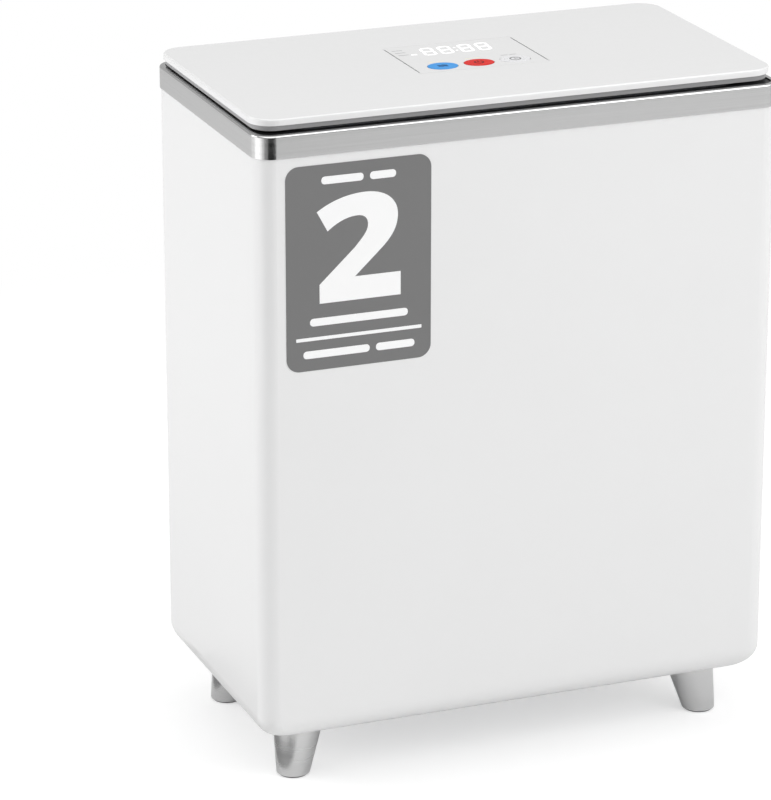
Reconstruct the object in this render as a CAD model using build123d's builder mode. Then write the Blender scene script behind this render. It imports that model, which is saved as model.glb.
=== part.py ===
"""Towel warmer bucket: a free-standing heated bucket with a hinged lid and push-button controls.

Millimetres. +X is the right-hand side, -Y the front and +Z up. The origin is on the floor, under
the middle of the shell.
"""
import os
from math import cos, radians, sin, sqrt

from build123d import *

os.makedirs("parts", exist_ok=True)

# ---------------------------------------------------------------- shell
body_width = 370.0
body_depth = 204.0
body_corner = 12.5
shell_height = 406.9  # underside of the shell to the lower edge of the steel rim
shell_wall = 2.2
bottom_round = 18.0
round_sections = 6  # sections that the rounded bottom edge is drawn through
seat_gap = 0.1  # between pieces of one body that rest on each other's sides

# ---------------------------------------------------------------- feet
foot_height = 37.0  # floor to the shell's underside
foot_top_radius = 17.5
foot_bottom_radius = 11.5
foot_edge_gap_x = 3.5  # foot's top to the shell's rounded bottom edge
foot_edge_gap_y = 4.5
foot_splay = 6.0  # tip of the foot outside its top, along X and along Y
foot_tip_round = 0.6
pad_radius = 10.0
pad_height = 2.6
pad_proud = 1.0
foot_screw_radius = 2.5
foot_screw_depth = 16.0
foot_screw_head_radius = 5.0
foot_screw_head_height = 3.4
washer_radius = 8.0
washer_height = 1.2
screw_gap = 0.1  # radial, screw shank to its hole

# ---------------------------------------------------------------- screw heads
# Shares of a head's radius and height.
recess_length = 1.1
recess_width = 0.3
recess_depth = 0.5
head_round = 0.4

# ---------------------------------------------------------------- steel rim and collar
rim_height = 15.3
rim_wall = 0.8
rim_lip = 3.0
rim_edge_round = 1.3
collar_thickness = 2.2
collar_skirt_depth = 12.0
collar_skirt_wall = 2.0
collar_gap = 0.3  # collar to the shell's inner face and to the bucket
collar_screw_radius = 1.5
collar_screw_head_radius = 2.8
collar_screw_head_height = 1.5
collar_screw_length = 4.6
collar_screw_drop = 5.0  # below the shell's top edge
collar_screw_notch_gap = 7.0  # beside the hinge's notches
collar_screw_spread_y = 50.0

# ---------------------------------------------------------------- bucket and heaters
bucket_corner = 24.0
bucket_wall = 1.0
bucket_bottom_round = 14.0
bucket_flange = 8.0
heater_thickness = 1.5
heater_gap = 0.3
mat_bottom_inset = 25.0  # above the bucket's underside
mat_top_inset = 37.0  # below the top of the insulation
base_heater_inset = 36.0  # inside the bucket's outer wall
base_heater_corner = 8.0
insulation_thickness = 9.0
insulation_gap = 0.5
air_gap = 5.5  # insulation to the shell
insulation_bottom_inset = 6.0
insulation_top_gap = 6.0  # below the hinge's brackets
base_insulation_thickness = 8.0
base_insulation_reach = 8.0  # beyond the base heater
works_gap = 6.6  # over the transformer
thermostat_x = -60.0
thermostat_radius = 8.0
thermostat_height = 7.0
thermostat_flange_radius = 11.5
thermostat_flange_thickness = 1.0
terminal_width = 4.8
terminal_thickness = 0.8
terminal_length = 7.0
terminal_spread = 4.0
sensor_x = 0.0
sensor_length = 14.0
sensor_width = 7.0
sensor_height = 4.0
sensor_corner = 1.5
fuse_x = 60.0
fuse_radius = 2.0
fuse_length = 12.0
window_gap = 1.0  # round what passes through the base heater and its insulation

# ---------------------------------------------------------------- base plate and power board
plate_foot_gap = 4.5  # base plate to the top of a foot
plate_round_gap = 10.0  # base plate to the shell's rounded bottom edge
opening_corner = 10.0
plate_overlap = 8.0
plate_thickness = 2.2
plate_corner = 8.0
vent_length = 34.0
vent_width = 3.0
vent_pitch = 7.0
vent_count = 5
vent_bank_x = 85.0
base_screw_radius = 1.5
base_screw_head_radius = 3.0
base_screw_head_height = 2.0
base_screw_length = 9.0
boss_radius = 3.8
boss_height = 9.0
board_length = 110.0
board_corner = 2.0
board_depth = 76.0
board_thickness = 1.6
board_post_height = 10.0
board_post_radius = 3.5
board_screw_inset = 5.0
board_screw_radius = 1.4
board_screw_head_radius = 2.8
board_screw_head_height = 1.8
board_screw_length = 8.0
transformer_x = -28.0
transformer_y = 12.0
transformer_size = (38.0, 32.0, 20.0)
transformer_corner = 2.0
transformer_core_size = (12.0, 38.0, 20.0)
relay_x = 14.0
relay_y = 18.0
relay_size = (19.0, 15.5, 15.0)
capacitor_x = -38.0
capacitor_y = -22.0
capacitor_radius = 6.5
capacitor_height = 18.0
terminal_block_x = 22.0
terminal_block_y = -24.0
terminal_block_size = (40.0, 9.0, 11.0)
terminal_ways = 4
terminal_pitch = 9.5
terminal_bore_radius = 1.7
terminal_bore_depth = 6.0
works_edge_round = 0.6

# ---------------------------------------------------------------- mains inlet at the lower back
inlet_edge_inset = 67.0  # from the shell's right side to the inlet's middle
inlet_above_floor = 32.0  # over the shell's underside
inlet_flange_width = 42.0
inlet_flange_height = 16.0
inlet_flange_thickness = 2.0
inlet_flange_corner = 3.0
inlet_body_corner = 1.5
inlet_body_width = 24.0
inlet_body_height = 14.0
inlet_body_depth = 16.0
inlet_bore_radius = 4.7
inlet_bore_spacing = 8.6
inlet_bore_depth = 13.0
inlet_pin_radius = 1.2
inlet_pin_length = 10.5
inlet_pin_tail = 6.0
inlet_screw_spread = 16.5
inlet_screw_radius = 1.4
inlet_screw_head_radius = 2.6
inlet_screw_head_height = 1.6
inlet_screw_length = 7.0
inlet_edge_gap = 0.3

# ---------------------------------------------------------------- lid
lid_side_inset = 1.25  # inside the shell's sides
lid_front_inset = 6.4
lid_back_overhang = 0.4
lid_corner = 16.0
lid_gap = 4.6  # steel rim to the underside of the top plate
lid_panel_thickness = 4.4
lid_edge_round = 1.2
frame_inset = 1.5
frame_clear = 1.1  # over the steel rim
tub_gap = 9.5  # inside the bucket's mouth
tub_corner = 18.0
tub_wall = 2.0
tub_height = 16.3  # below the frame's rim
tub_boss_radius = 4.0
tub_boss_inset = 6.0
cover_thickness = 2.2
cover_screw_radius = 1.4
cover_screw_head_radius = 2.7
cover_screw_head_height = 1.4
cover_screw_length = 9.0
seal_wall = 4.0
seal_outside_mouth = 1.5
seal_gap = 0.1
seal_round = 0.8
panel_screw_radius = 1.4
panel_screw_head_radius = 2.7
panel_screw_head_height = 1.4
panel_screw_length = 5.6
panel_screw_side_y = 50.0
panel_screw_long_x = 90.0
lid_insulation_thickness = 9.0
lid_insulation_gap = 0.6

# ---------------------------------------------------------------- controls in the lid
control_width = 94.0
control_depth = 70.5
control_x = 4.3
control_y = 11.25
control_corner = 3.0
control_gap = 0.35
control_thickness = 2.0
control_ledge = 2.0
control_hole_corner = 2.0
button_half_width = 10.4
button_half_depth = 8.3
button_gap = 0.35
button_proud = 0.3
button_thickness = 2.6
button_travel = 0.8
button_edge_round = 0.25
button_row_x = 5.0
button_pitch = 26.2
button_from_front = 13.4  # front edge of the control panel to the buttons' centres
button_names = ("blue_button", "red_button", "white_button")
stem_radius = 3.0
stem_gap = 0.08
stem_stop_radius = 3.8
stem_stop_height = 0.9
stem_stop_gap = 0.1
stem_tip = 0.4  # stem below its snap ring
guide_gap = 0.2  # under a button that is pressed all the way
guide_thickness = 1.6
guide_edge_gap = 0.4
guide_leg_radius = 2.5
guide_leg_inset = 4.0
display_width = 62.0
display_depth = 26.0
display_height = 7.0
display_x = 4.0
display_from_back = 18.0
display_window_gap = 0.6
display_top_gap = 0.1
led_board_margin = 3.9  # beyond the control panel's pocket
led_board_screw_inset = 4.0
led_post_radius = 3.6
switch_size = 6.2
switch_height = 1.6
plunger_radius = 1.7
plunger_gap = 0.1
plunger_length = 1.8
plunger_names = ("blue_plunger", "red_plunger", "white_plunger")

# ---------------------------------------------------------------- scent holder under the lid
scent_inset = 55.5  # holder's middle from the inner cover's end
cup_radius = 25.9
cup_wall = 4.2
cup_depth = 10.5
cup_roof = 1.5
scent_cover_gap = 0.4
scent_cover_thickness = 2.0
scent_cover_proud = 0.6
scent_skirt_wall = 2.0
scent_skirt_height = 2.2
lug_reach = 1.7
lug_height = 1.2
lug_angle = 24.0
lug_gap = 0.35
lug_entry_angle = 32.0
scent_twist = 40.0
scent_hole_radius = 1.5
scent_hole_ring_radii = (7.0, 12.0, 17.0)
scent_hole_ring_counts = (6, 12, 16)
scent_pad_height = 6.0
grip_length = 30.0
grip_width = 3.0
grip_height = 1.6
grip_corner = 1.4

# ---------------------------------------------------------------- hinge
hinge_x = 95.0
hinge_drop = 6.3  # axis below the frame's rim
hinge_swing_gap = 0.5  # frame to the steel rim's top edge as the lid swings
barrel_radius = 4.6
knuckle_length = 24.0
ear_thickness = 5.0
hinge_side_gap = 0.4
notch_side_gap = 0.6
notch_front_gap = 1.0
pin_radius = 2.0
pin_ear_gap = 0.02
pin_knuckle_gap = 0.06
bracket_web_gap = 1.0
bracket_height = 15.0
bracket_thickness = 8.6
bracket_wall_gap = 0.2
hinge_screw_radius = 1.5
hinge_screw_head_radius = 3.0
hinge_screw_head_height = 1.8
hinge_screw_length = 9.0
hinge_screw_spread = 9.0
hinge_screw_below_web = 8.0

# ---------------------------------------------------------------- label
label_width = 100.4
label_height = 138.3
label_thickness = 0.3
label_corner = 9.0
label_side_inset = 18.4
label_below_rim = 6.6

# ---------------------------------------------------------------- leads in the base
mains_lead_radius = 1.1
heater_lead_radius = 0.7
lead_bend = 9.0
lead_seat = 1.0  # lead's end to the bottom of the terminal's bore
mains_lead_front = 34.0  # straight run forward of the inlet
heater_lead_drop = 3.0  # heater leads below the mains leads

# ---------------------------------------------------------------- worked out: heights
underside = foot_height
shell_floor_top = underside + shell_wall
rim_bottom = underside + shell_height
rim_top = rim_bottom + rim_height
collar_top = rim_top - rim_wall - seat_gap
collar_bottom = collar_top - collar_thickness
board_bottom = underside + board_post_height
board_top = board_bottom + board_thickness
base_insulation_bottom = board_top + transformer_size[2] + works_gap
base_insulation_top = base_insulation_bottom + base_insulation_thickness
base_heater_bottom = base_insulation_top + heater_gap
base_heater_top = base_heater_bottom + heater_thickness
bucket_bottom = base_heater_top + heater_gap
panel_bottom = rim_top + lid_gap
lid_top = panel_bottom + lid_panel_thickness
frame_bottom = rim_top + frame_clear
frame_rim_height = panel_bottom - frame_bottom
tub_bottom = frame_bottom - tub_height
cover_bottom = tub_bottom - cover_thickness
control_bottom = lid_top - control_thickness
button_bottom = lid_top + button_proud - button_thickness
guide_top = button_bottom - button_travel - guide_gap
guide_bottom = guide_top - guide_thickness
stop_top = guide_bottom - stem_stop_gap
stem_bottom = stop_top - stem_stop_height - stem_tip
display_top = control_bottom - display_top_gap
led_board_top = display_top - display_height
led_board_bottom = led_board_top - board_thickness

# ---------------------------------------------------------------- worked out: plan sizes and places
shell_inner_width = body_width - 2 * shell_wall
shell_inner_depth = body_depth - 2 * shell_wall
shell_inner_corner = body_corner - shell_wall
rim_proud = seat_gap + rim_wall
bucket_space = air_gap + insulation_thickness + insulation_gap + heater_thickness + heater_gap
bucket_outer_width = shell_inner_width - 2 * bucket_space
bucket_outer_depth = shell_inner_depth - 2 * bucket_space
bucket_outer_corner = bucket_corner + bucket_wall
bucket_width = bucket_outer_width - 2 * bucket_wall
bucket_depth = bucket_outer_depth - 2 * bucket_wall
lid_width = body_width - 2 * lid_side_inset
lid_depth = body_depth - lid_front_inset + lid_back_overhang
lid_set_back = (lid_front_inset + lid_back_overhang) / 2
frame_width = lid_width - 2 * frame_inset
frame_depth = lid_depth - 2 * frame_inset
frame_back = lid_set_back + frame_depth / 2
tub_width = bucket_width - 2 * tub_gap
tub_depth = bucket_depth - 2 * tub_gap
scent_x = scent_inset - tub_width / 2
foot_top_x = body_width / 2 - bottom_round - foot_edge_gap_x - foot_top_radius
foot_top_y = body_depth / 2 - bottom_round - foot_edge_gap_y - foot_top_radius
foot_tip_x = foot_top_x + foot_splay
foot_tip_y = foot_top_y + foot_splay
foot_corners = {
    "foot_front_left": (-1, -1),
    "foot_front_right": (1, -1),
    "foot_rear_left": (-1, 1),
    "foot_rear_right": (1, 1),
}
foot_tops = [(sx * foot_top_x, sy * foot_top_y) for sx, sy in foot_corners.values()]
foot_tips = [(sx * foot_tip_x, sy * foot_tip_y) for sx, sy in foot_corners.values()]
plate_width = 2 * (foot_top_x - foot_top_radius - plate_foot_gap)
plate_depth = body_depth - 2 * (bottom_round + plate_round_gap)
opening_width = plate_width - 2 * plate_overlap
opening_depth = plate_depth - 2 * plate_overlap
base_screw_x = opening_width / 2 + plate_overlap / 2
base_screw_y = opening_depth / 2 + plate_overlap / 2
base_screw_places = [
    (x, y) for x in (-base_screw_x, 0, base_screw_x) for y in (-base_screw_y, base_screw_y)
]
board_holes_x = board_length - 2 * board_screw_inset
board_holes_y = board_depth - 2 * board_screw_inset
inlet_z = underside + inlet_above_floor
shell_back = body_depth / 2
shell_back_inside = shell_back - shell_wall
hinge_z = frame_bottom - hinge_drop
# The frame's underside turns about the axis just outside the steel rim's top edge.
hinge_y = shell_back + rim_proud - sqrt((hinge_drop - hinge_swing_gap) ** 2 - (rim_top - hinge_z) ** 2)
notch_width = knuckle_length + 2 * (hinge_side_gap + ear_thickness + notch_side_gap)
notch_front = hinge_y - barrel_radius - notch_front_gap
notch_reach = shell_back - notch_front
web_top = hinge_z - barrel_radius - bracket_web_gap
bracket_back = shell_back_inside - bracket_wall_gap
bracket_length = knuckle_length + 2 * (hinge_side_gap + ear_thickness)
hinge_screw_z = web_top - hinge_screw_below_web
hinge_places = (-hinge_x, hinge_x)
collar_screw_x = hinge_x + notch_width / 2 + collar_screw_notch_gap
collar_screw_z = collar_bottom - collar_screw_drop
boss_spread_x = tub_width - 2 * (tub_wall + tub_boss_inset)
boss_spread_y = tub_depth - 2 * (tub_wall + tub_boss_inset)
cover_screw_places = [
    (step * boss_spread_x / 2, end * boss_spread_y / 2) for step in (-1, 0, 1) for end in (-1, 1)
]
control_front = control_y - control_depth / 2
control_back = control_y + control_depth / 2
led_board_width = control_width + 2 * led_board_margin
led_board_depth = control_depth + 2 * led_board_margin
led_holes_x = led_board_width - 2 * led_board_screw_inset
led_holes_y = led_board_depth - 2 * led_board_screw_inset
display_y = control_back - display_from_back
button_centres = [
    (button_row_x + step * button_pitch, control_front + button_from_front) for step in (-1, 0, 1)
]


def tub(width, depth, corner, bottom_radius, bottom, height):
    """A solid block with rounded upright corners and a rounded bottom edge."""
    with BuildPart() as block:
        for step in range(round_sections + 1):
            angle = radians(90 * step / round_sections)
            inset = bottom_radius * (1 - sin(angle))
            rise = bottom_radius * (1 - cos(angle))
            with BuildSketch(Plane.XY.offset(bottom + rise)):
                RectangleRounded(width - 2 * inset, depth - 2 * inset, corner)
        loft()
        with BuildSketch(Plane.XY.offset(bottom + bottom_radius)):
            RectangleRounded(width, depth, corner)
        extrude(amount=height - bottom_radius)
    return block.part


def ring(width, depth, corner, wall, bottom, height):
    """A straight-walled ring: width, depth and corner are its outside."""
    with BuildPart() as band:
        with BuildSketch(Plane.XY.offset(bottom)):
            RectangleRounded(width, depth, corner)
            RectangleRounded(width - 2 * wall, depth - 2 * wall, corner - wall, mode=Mode.SUBTRACT)
        extrude(amount=height)
    return band.part


def pan_screw(shank_radius, length, head_radius, head_height):
    """A pan-head screw with a cross recess: its head stands on Z = 0 and its shank points down."""
    with BuildPart() as screw:
        with BuildSketch():
            Circle(head_radius)
        extrude(amount=head_height)
        fillet(screw.edges().sort_by(Axis.Z)[-1], head_height * head_round)
        with BuildSketch(Plane.XY.offset(head_height)):
            Rectangle(head_radius * recess_length, head_radius * recess_width)
            Rectangle(head_radius * recess_width, head_radius * recess_length)
        extrude(amount=-head_height * recess_depth, mode=Mode.SUBTRACT)
        with BuildSketch():
            Circle(shank_radius)
        extrude(amount=-length)
    return screw.part


def flat_screw(shank_radius, length, head_radius, head_height):
    """A countersunk screw with a cross recess: its head is flush with Z = 0 and it points down."""
    with BuildPart() as screw:
        with BuildSketch():
            Circle(head_radius)
        with BuildSketch(Plane.XY.offset(-head_height)):
            Circle(shank_radius)
        loft()
        with BuildSketch():
            Rectangle(head_radius * recess_length, head_radius * recess_width)
            Rectangle(head_radius * recess_width, head_radius * recess_length)
        extrude(amount=-head_height * recess_depth, mode=Mode.SUBTRACT)
        with BuildSketch(Plane.XY.offset(-head_height)):
            Circle(shank_radius)
        extrude(amount=head_height - length)
    return screw.part


def flat_screw_hole(shank_radius, length, head_radius, head_height, gap):
    """The space that a countersunk screw takes, with a gap all round its shank and head."""
    with BuildPart() as hole:
        with BuildSketch():
            Circle(head_radius + gap)
        with BuildSketch(Plane.XY.offset(-head_height - gap)):
            Circle(shank_radius + gap)
        loft()
        with BuildSketch(Plane.XY.offset(-head_height - gap)):
            Circle(shank_radius + gap)
        extrude(amount=head_height - length)
    return hole.part


# Planes that face out of the shell where the collar's screws go in.
collar_screw_planes = [
    Plane(origin=(side * collar_screw_x, face * body_depth / 2, collar_screw_z), z_dir=(0, face, 0))
    for side in (-1, 1)
    for face in (-1, 1)
] + [
    Plane(origin=(side * body_width / 2, end * collar_screw_spread_y, collar_screw_z), z_dir=(side, 0, 0))
    for side in (-1, 1)
    for end in (-1, 1)
]
# Planes that face out of the shell's back at the hinge screws and at the inlet's screws.
hinge_screw_planes = [
    Plane(origin=(place + side * hinge_screw_spread, shell_back, hinge_screw_z), z_dir=(0, 1, 0))
    for place in hinge_places
    for side in (-1, 1)
]
label_x = -body_width / 2 + label_side_inset + label_width / 2
label_z = rim_bottom - label_below_rim - label_height / 2
label_plane = Plane(
    origin=(label_x, -body_depth / 2, label_z), x_dir=(1, 0, 0), z_dir=(0, -1, 0)
)
inlet_x = body_width / 2 - inlet_edge_inset
inlet_plane = Plane(origin=(inlet_x, shell_back, inlet_z), x_dir=(-1, 0, 0), z_dir=(0, 1, 0))
inlet_hole_planes = [
    Plane(origin=(inlet_x + side * inlet_screw_spread, shell_back, inlet_z), z_dir=(0, 1, 0))
    for side in (-1, 1)
]
inlet_screw_planes = [plane.offset(inlet_flange_thickness) for plane in inlet_hole_planes]

# ================================================================ shell, feet and base
shell_outside = tub(body_width, body_depth, body_corner, bottom_round, underside, collar_bottom - underside)
shell_inside = tub(
    shell_inner_width,
    shell_inner_depth,
    shell_inner_corner,
    bottom_round - shell_wall,
    shell_floor_top,
    collar_bottom - shell_floor_top + 1,
)
collar_screw_hole = flat_screw_hole(
    collar_screw_radius, collar_screw_length, collar_screw_head_radius, collar_screw_head_height, screw_gap
)

with BuildPart() as outer_shell:
    add(shell_outside)
    add(shell_inside, mode=Mode.SUBTRACT)
    # bosses for the base plate's screws
    with BuildSketch(Plane.XY.offset(underside + shell_wall / 2)):
        with Locations(*base_screw_places):
            Circle(boss_radius)
    extrude(amount=boss_height)
    # opening under the works
    with BuildSketch(Plane.XY.offset(underside)):
        RectangleRounded(opening_width, opening_depth, opening_corner)
    extrude(amount=boss_height + shell_wall, mode=Mode.SUBTRACT)
    with BuildSketch(Plane.XY.offset(underside)):
        with Locations(*base_screw_places):
            Circle(base_screw_radius + screw_gap)
        with Locations(*foot_tops):
            Circle(foot_screw_radius + screw_gap)
    extrude(amount=boss_height + shell_wall, mode=Mode.SUBTRACT)
    with Locations(*collar_screw_planes):
        add(collar_screw_hole, mode=Mode.SUBTRACT)
    # notches for the hinge barrels
    with BuildSketch(Plane.XY.offset(web_top)):
        with Locations(*[(place, shell_back) for place in hinge_places]):
            Rectangle(notch_width, 2 * notch_reach)
    extrude(amount=collar_bottom - web_top, mode=Mode.SUBTRACT)
    with BuildSketch(*hinge_screw_planes):
        Circle(hinge_screw_radius + screw_gap)
    extrude(amount=-2 * shell_wall, mode=Mode.SUBTRACT)
    # mains inlet
    with BuildSketch(inlet_plane):
        RectangleRounded(
            inlet_body_width + 2 * inlet_edge_gap, inlet_body_height + 2 * inlet_edge_gap, inlet_body_corner
        )
    extrude(amount=-2 * shell_wall, mode=Mode.SUBTRACT)
    with BuildSketch(*inlet_hole_planes):
        Circle(inlet_screw_radius + screw_gap)
    extrude(amount=-2 * shell_wall, mode=Mode.SUBTRACT)
outer_shell.part.label = "outer_shell"
export_step(outer_shell.part, "parts/outer_shell.step")

foot_screw = pan_screw(foot_screw_radius, foot_screw_depth, foot_screw_head_radius, foot_screw_head_height)
for foot_name, (side_x, side_y) in foot_corners.items():
    with BuildPart() as foot:
        with BuildSketch(Plane.XY.offset(pad_proud)):
            with Locations((side_x * foot_tip_x, side_y * foot_tip_y)):
                Circle(foot_bottom_radius)
        with BuildSketch(Plane.XY.offset(foot_height)):
            with Locations((side_x * foot_top_x, side_y * foot_top_y)):
                Circle(foot_top_radius)
        loft()
        fillet(foot.edges().sort_by(Axis.Z)[0], foot_tip_round)
        # recess for the rubber pad
        with BuildSketch(Plane.XY.offset(pad_proud)):
            with Locations((side_x * foot_tip_x, side_y * foot_tip_y)):
                Circle(pad_radius + seat_gap)
        extrude(amount=pad_height - pad_proud, mode=Mode.SUBTRACT)
        # bore for the foot's screw
        with BuildSketch(Plane.XY.offset(foot_height)):
            with Locations((side_x * foot_top_x, side_y * foot_top_y)):
                Circle(foot_screw_radius + screw_gap)
        extrude(amount=-foot_screw_depth, mode=Mode.SUBTRACT)
    foot.part.label = foot_name
    export_step(foot.part, f"parts/{foot_name}.step")

with BuildPart() as foot_pads:
    with BuildSketch():
        with Locations(*foot_tips):
            Circle(pad_radius)
    extrude(amount=pad_height)
foot_pads.part.label = "foot_pads"
export_step(foot_pads.part, "parts/foot_pads.step")

with BuildPart() as foot_washers:
    with BuildSketch(Plane.XY.offset(shell_floor_top)):
        with Locations(*foot_tops):
            Circle(washer_radius)
            Circle(foot_screw_radius + screw_gap, mode=Mode.SUBTRACT)
    extrude(amount=washer_height)
foot_washers.part.label = "foot_washers"
export_step(foot_washers.part, "parts/foot_washers.step")

with BuildPart() as foot_screws:
    with Locations(*[(x, y, shell_floor_top + washer_height) for x, y in foot_tops]):
        add(foot_screw)
foot_screws.part.label = "foot_screws"
export_step(foot_screws.part, "parts/foot_screws.step")

with BuildPart() as base_plate:
    with BuildSketch(Plane.XY.offset(underside)):
        RectangleRounded(plate_width, plate_depth, plate_corner)
    extrude(amount=-plate_thickness)
    # posts under the power board
    with BuildSketch(Plane.XY.offset(underside)):
        with GridLocations(board_holes_x, board_holes_y, 2, 2):
            Circle(board_post_radius)
    extrude(amount=board_post_height)
    with BuildSketch(Plane.XY.offset(board_bottom)):
        with GridLocations(board_holes_x, board_holes_y, 2, 2):
            Circle(board_screw_radius + screw_gap)
    extrude(amount=-board_post_height, mode=Mode.SUBTRACT)
    # vents
    with BuildSketch(Plane.XY.offset(underside)):
        with GridLocations(2 * vent_bank_x, vent_pitch, 2, vent_count):
            SlotOverall(vent_length, vent_width)
        with Locations(*base_screw_places):
            Circle(base_screw_radius + screw_gap)
    extrude(amount=-plate_thickness, mode=Mode.SUBTRACT)
base_plate.part.label = "base_plate"
export_step(base_plate.part, "parts/base_plate.step")

base_screw = pan_screw(base_screw_radius, base_screw_length, base_screw_head_radius, base_screw_head_height)
with BuildPart() as base_screws:
    with Locations(
        *[Plane(origin=(x, y, underside - plate_thickness), z_dir=(0, 0, -1)) for x, y in base_screw_places]
    ):
        add(base_screw)
base_screws.part.label = "base_screws"
export_step(base_screws.part, "parts/base_screws.step")

with BuildPart() as front_label:
    with BuildSketch(label_plane):
        RectangleRounded(label_width, label_height, label_corner)
    extrude(amount=label_thickness)
front_label.part.label = "front_label"
export_step(front_label.part, "parts/front_label.step")

# ================================================================ steel rim and collar
with BuildPart() as steel_rim:
    with BuildSketch(Plane.XY.offset(rim_bottom)):
        RectangleRounded(body_width + 2 * rim_proud, body_depth + 2 * rim_proud, body_corner + rim_proud)
    extrude(amount=rim_height)
    fillet(steel_rim.edges().group_by(Axis.Z)[-1], rim_edge_round)
    with BuildSketch(Plane.XY.offset(rim_bottom)):
        RectangleRounded(body_width + 2 * seat_gap, body_depth + 2 * seat_gap, body_corner + seat_gap)
    extrude(amount=rim_height - rim_wall, mode=Mode.SUBTRACT)
    # the lip that turns in over the collar
    with BuildSketch(Plane.XY.offset(rim_bottom)):
        RectangleRounded(body_width - 2 * rim_lip, body_depth - 2 * rim_lip, body_corner - rim_lip)
    extrude(amount=rim_height, mode=Mode.SUBTRACT)
    with BuildSketch(Plane.XY.offset(web_top)):
        with Locations(*[(place, shell_back) for place in hinge_places]):
            Rectangle(notch_width, 2 * notch_reach)
    extrude(amount=rim_top - web_top, mode=Mode.SUBTRACT)
steel_rim.part.label = "steel_rim"
export_step(steel_rim.part, "parts/steel_rim.step")

collar_opening_width = bucket_outer_width + 2 * collar_gap
collar_opening_depth = bucket_outer_depth + 2 * collar_gap
collar_opening_corner = bucket_outer_corner + collar_gap
with BuildPart() as rim_collar:
    with BuildSketch(Plane.XY.offset(collar_bottom)):
        RectangleRounded(body_width - 2 * seat_gap, body_depth - 2 * seat_gap, body_corner - seat_gap)
    extrude(amount=collar_thickness)
    # skirts inside the shell and round the bucket
    add(
        ring(
            shell_inner_width - 2 * collar_gap,
            shell_inner_depth - 2 * collar_gap,
            shell_inner_corner - collar_gap,
            collar_skirt_wall,
            collar_bottom - collar_skirt_depth,
            collar_skirt_depth,
        )
    )
    add(
        ring(
            collar_opening_width + 2 * collar_skirt_wall,
            collar_opening_depth + 2 * collar_skirt_wall,
            collar_opening_corner + collar_skirt_wall,
            collar_skirt_wall,
            collar_bottom - collar_skirt_depth,
            collar_skirt_depth,
        )
    )
    with BuildSketch(Plane.XY.offset(collar_bottom)):
        RectangleRounded(collar_opening_width, collar_opening_depth, collar_opening_corner)
    extrude(amount=collar_thickness, mode=Mode.SUBTRACT)
    # recess for the bucket's flange
    with BuildSketch(Plane.XY.offset(collar_top)):
        RectangleRounded(
            bucket_outer_width + 2 * (bucket_flange + collar_gap),
            bucket_outer_depth + 2 * (bucket_flange + collar_gap),
            bucket_outer_corner + bucket_flange + collar_gap,
        )
    extrude(amount=-bucket_wall, mode=Mode.SUBTRACT)
    with Locations(*collar_screw_planes):
        Hole(collar_screw_radius + screw_gap, depth=collar_screw_length + shell_wall)
    # notches for the hinge barrels
    with BuildSketch(Plane.XY.offset(collar_bottom - collar_skirt_depth)):
        for place in hinge_places:
            with Locations((place, shell_back)):
                Rectangle(notch_width, 2 * notch_reach)
    extrude(amount=collar_skirt_depth + collar_thickness, mode=Mode.SUBTRACT)
rim_collar.part.label = "rim_collar"
export_step(rim_collar.part, "parts/rim_collar.step")

collar_screw = flat_screw(
    collar_screw_radius, collar_screw_length, collar_screw_head_radius, collar_screw_head_height
)
with BuildPart() as collar_screws:
    with Locations(*collar_screw_planes):
        add(collar_screw)
collar_screws.part.label = "collar_screws"
export_step(collar_screws.part, "parts/collar_screws.step")

# ================================================================ bucket, heaters and insulation
bucket_outside = tub(
    bucket_outer_width,
    bucket_outer_depth,
    bucket_outer_corner,
    bucket_bottom_round + bucket_wall,
    bucket_bottom,
    collar_top - bucket_bottom,
)
bucket_inside = tub(
    bucket_width,
    bucket_depth,
    bucket_corner,
    bucket_bottom_round,
    bucket_bottom + bucket_wall,
    collar_top - bucket_bottom,
)
with BuildPart() as inner_bucket:
    add(bucket_outside)
    with BuildSketch(Plane.XY.offset(collar_top)):
        RectangleRounded(
            bucket_outer_width + 2 * bucket_flange,
            bucket_outer_depth + 2 * bucket_flange,
            bucket_outer_corner + bucket_flange,
        )
    extrude(amount=-bucket_wall)
    add(bucket_inside, mode=Mode.SUBTRACT)
inner_bucket.part.label = "inner_bucket"
export_step(inner_bucket.part, "parts/inner_bucket.step")

insulation_bottom = bucket_bottom + insulation_bottom_inset
insulation_top = web_top - bracket_height - insulation_top_gap
mat_bottom = bucket_bottom + mat_bottom_inset
mat_top = insulation_top - mat_top_inset
mat_width = bucket_outer_width + 2 * (heater_gap + heater_thickness)
mat_depth = bucket_outer_depth + 2 * (heater_gap + heater_thickness)
mat_corner = bucket_outer_corner + heater_gap + heater_thickness
with BuildPart() as heating_mat:
    add(ring(mat_width, mat_depth, mat_corner, heater_thickness, mat_bottom, mat_top - mat_bottom))
heating_mat.part.label = "heating_mat"
export_step(heating_mat.part, "parts/heating_mat.step")

insulation_reach = insulation_gap + insulation_thickness
with BuildPart() as side_insulation:
    add(
        ring(
            mat_width + 2 * insulation_reach,
            mat_depth + 2 * insulation_reach,
            mat_corner + insulation_reach,
            insulation_thickness,
            insulation_bottom,
            insulation_top - insulation_bottom,
        )
    )
side_insulation.part.label = "side_insulation"
export_step(side_insulation.part, "parts/side_insulation.step")

base_heater_width = bucket_outer_width - 2 * base_heater_inset
base_heater_depth = bucket_outer_depth - 2 * base_heater_inset
with BuildSketch() as sensor_windows:
    with Locations((thermostat_x, 0)):
        Circle(thermostat_flange_radius + window_gap)
    with Locations((sensor_x, 0)):
        Rectangle(sensor_length + 2 * window_gap, sensor_width + 2 * window_gap)
    with Locations((fuse_x, 0)):
        Rectangle(fuse_length + 2 * window_gap, 2 * (fuse_radius + window_gap))

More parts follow.
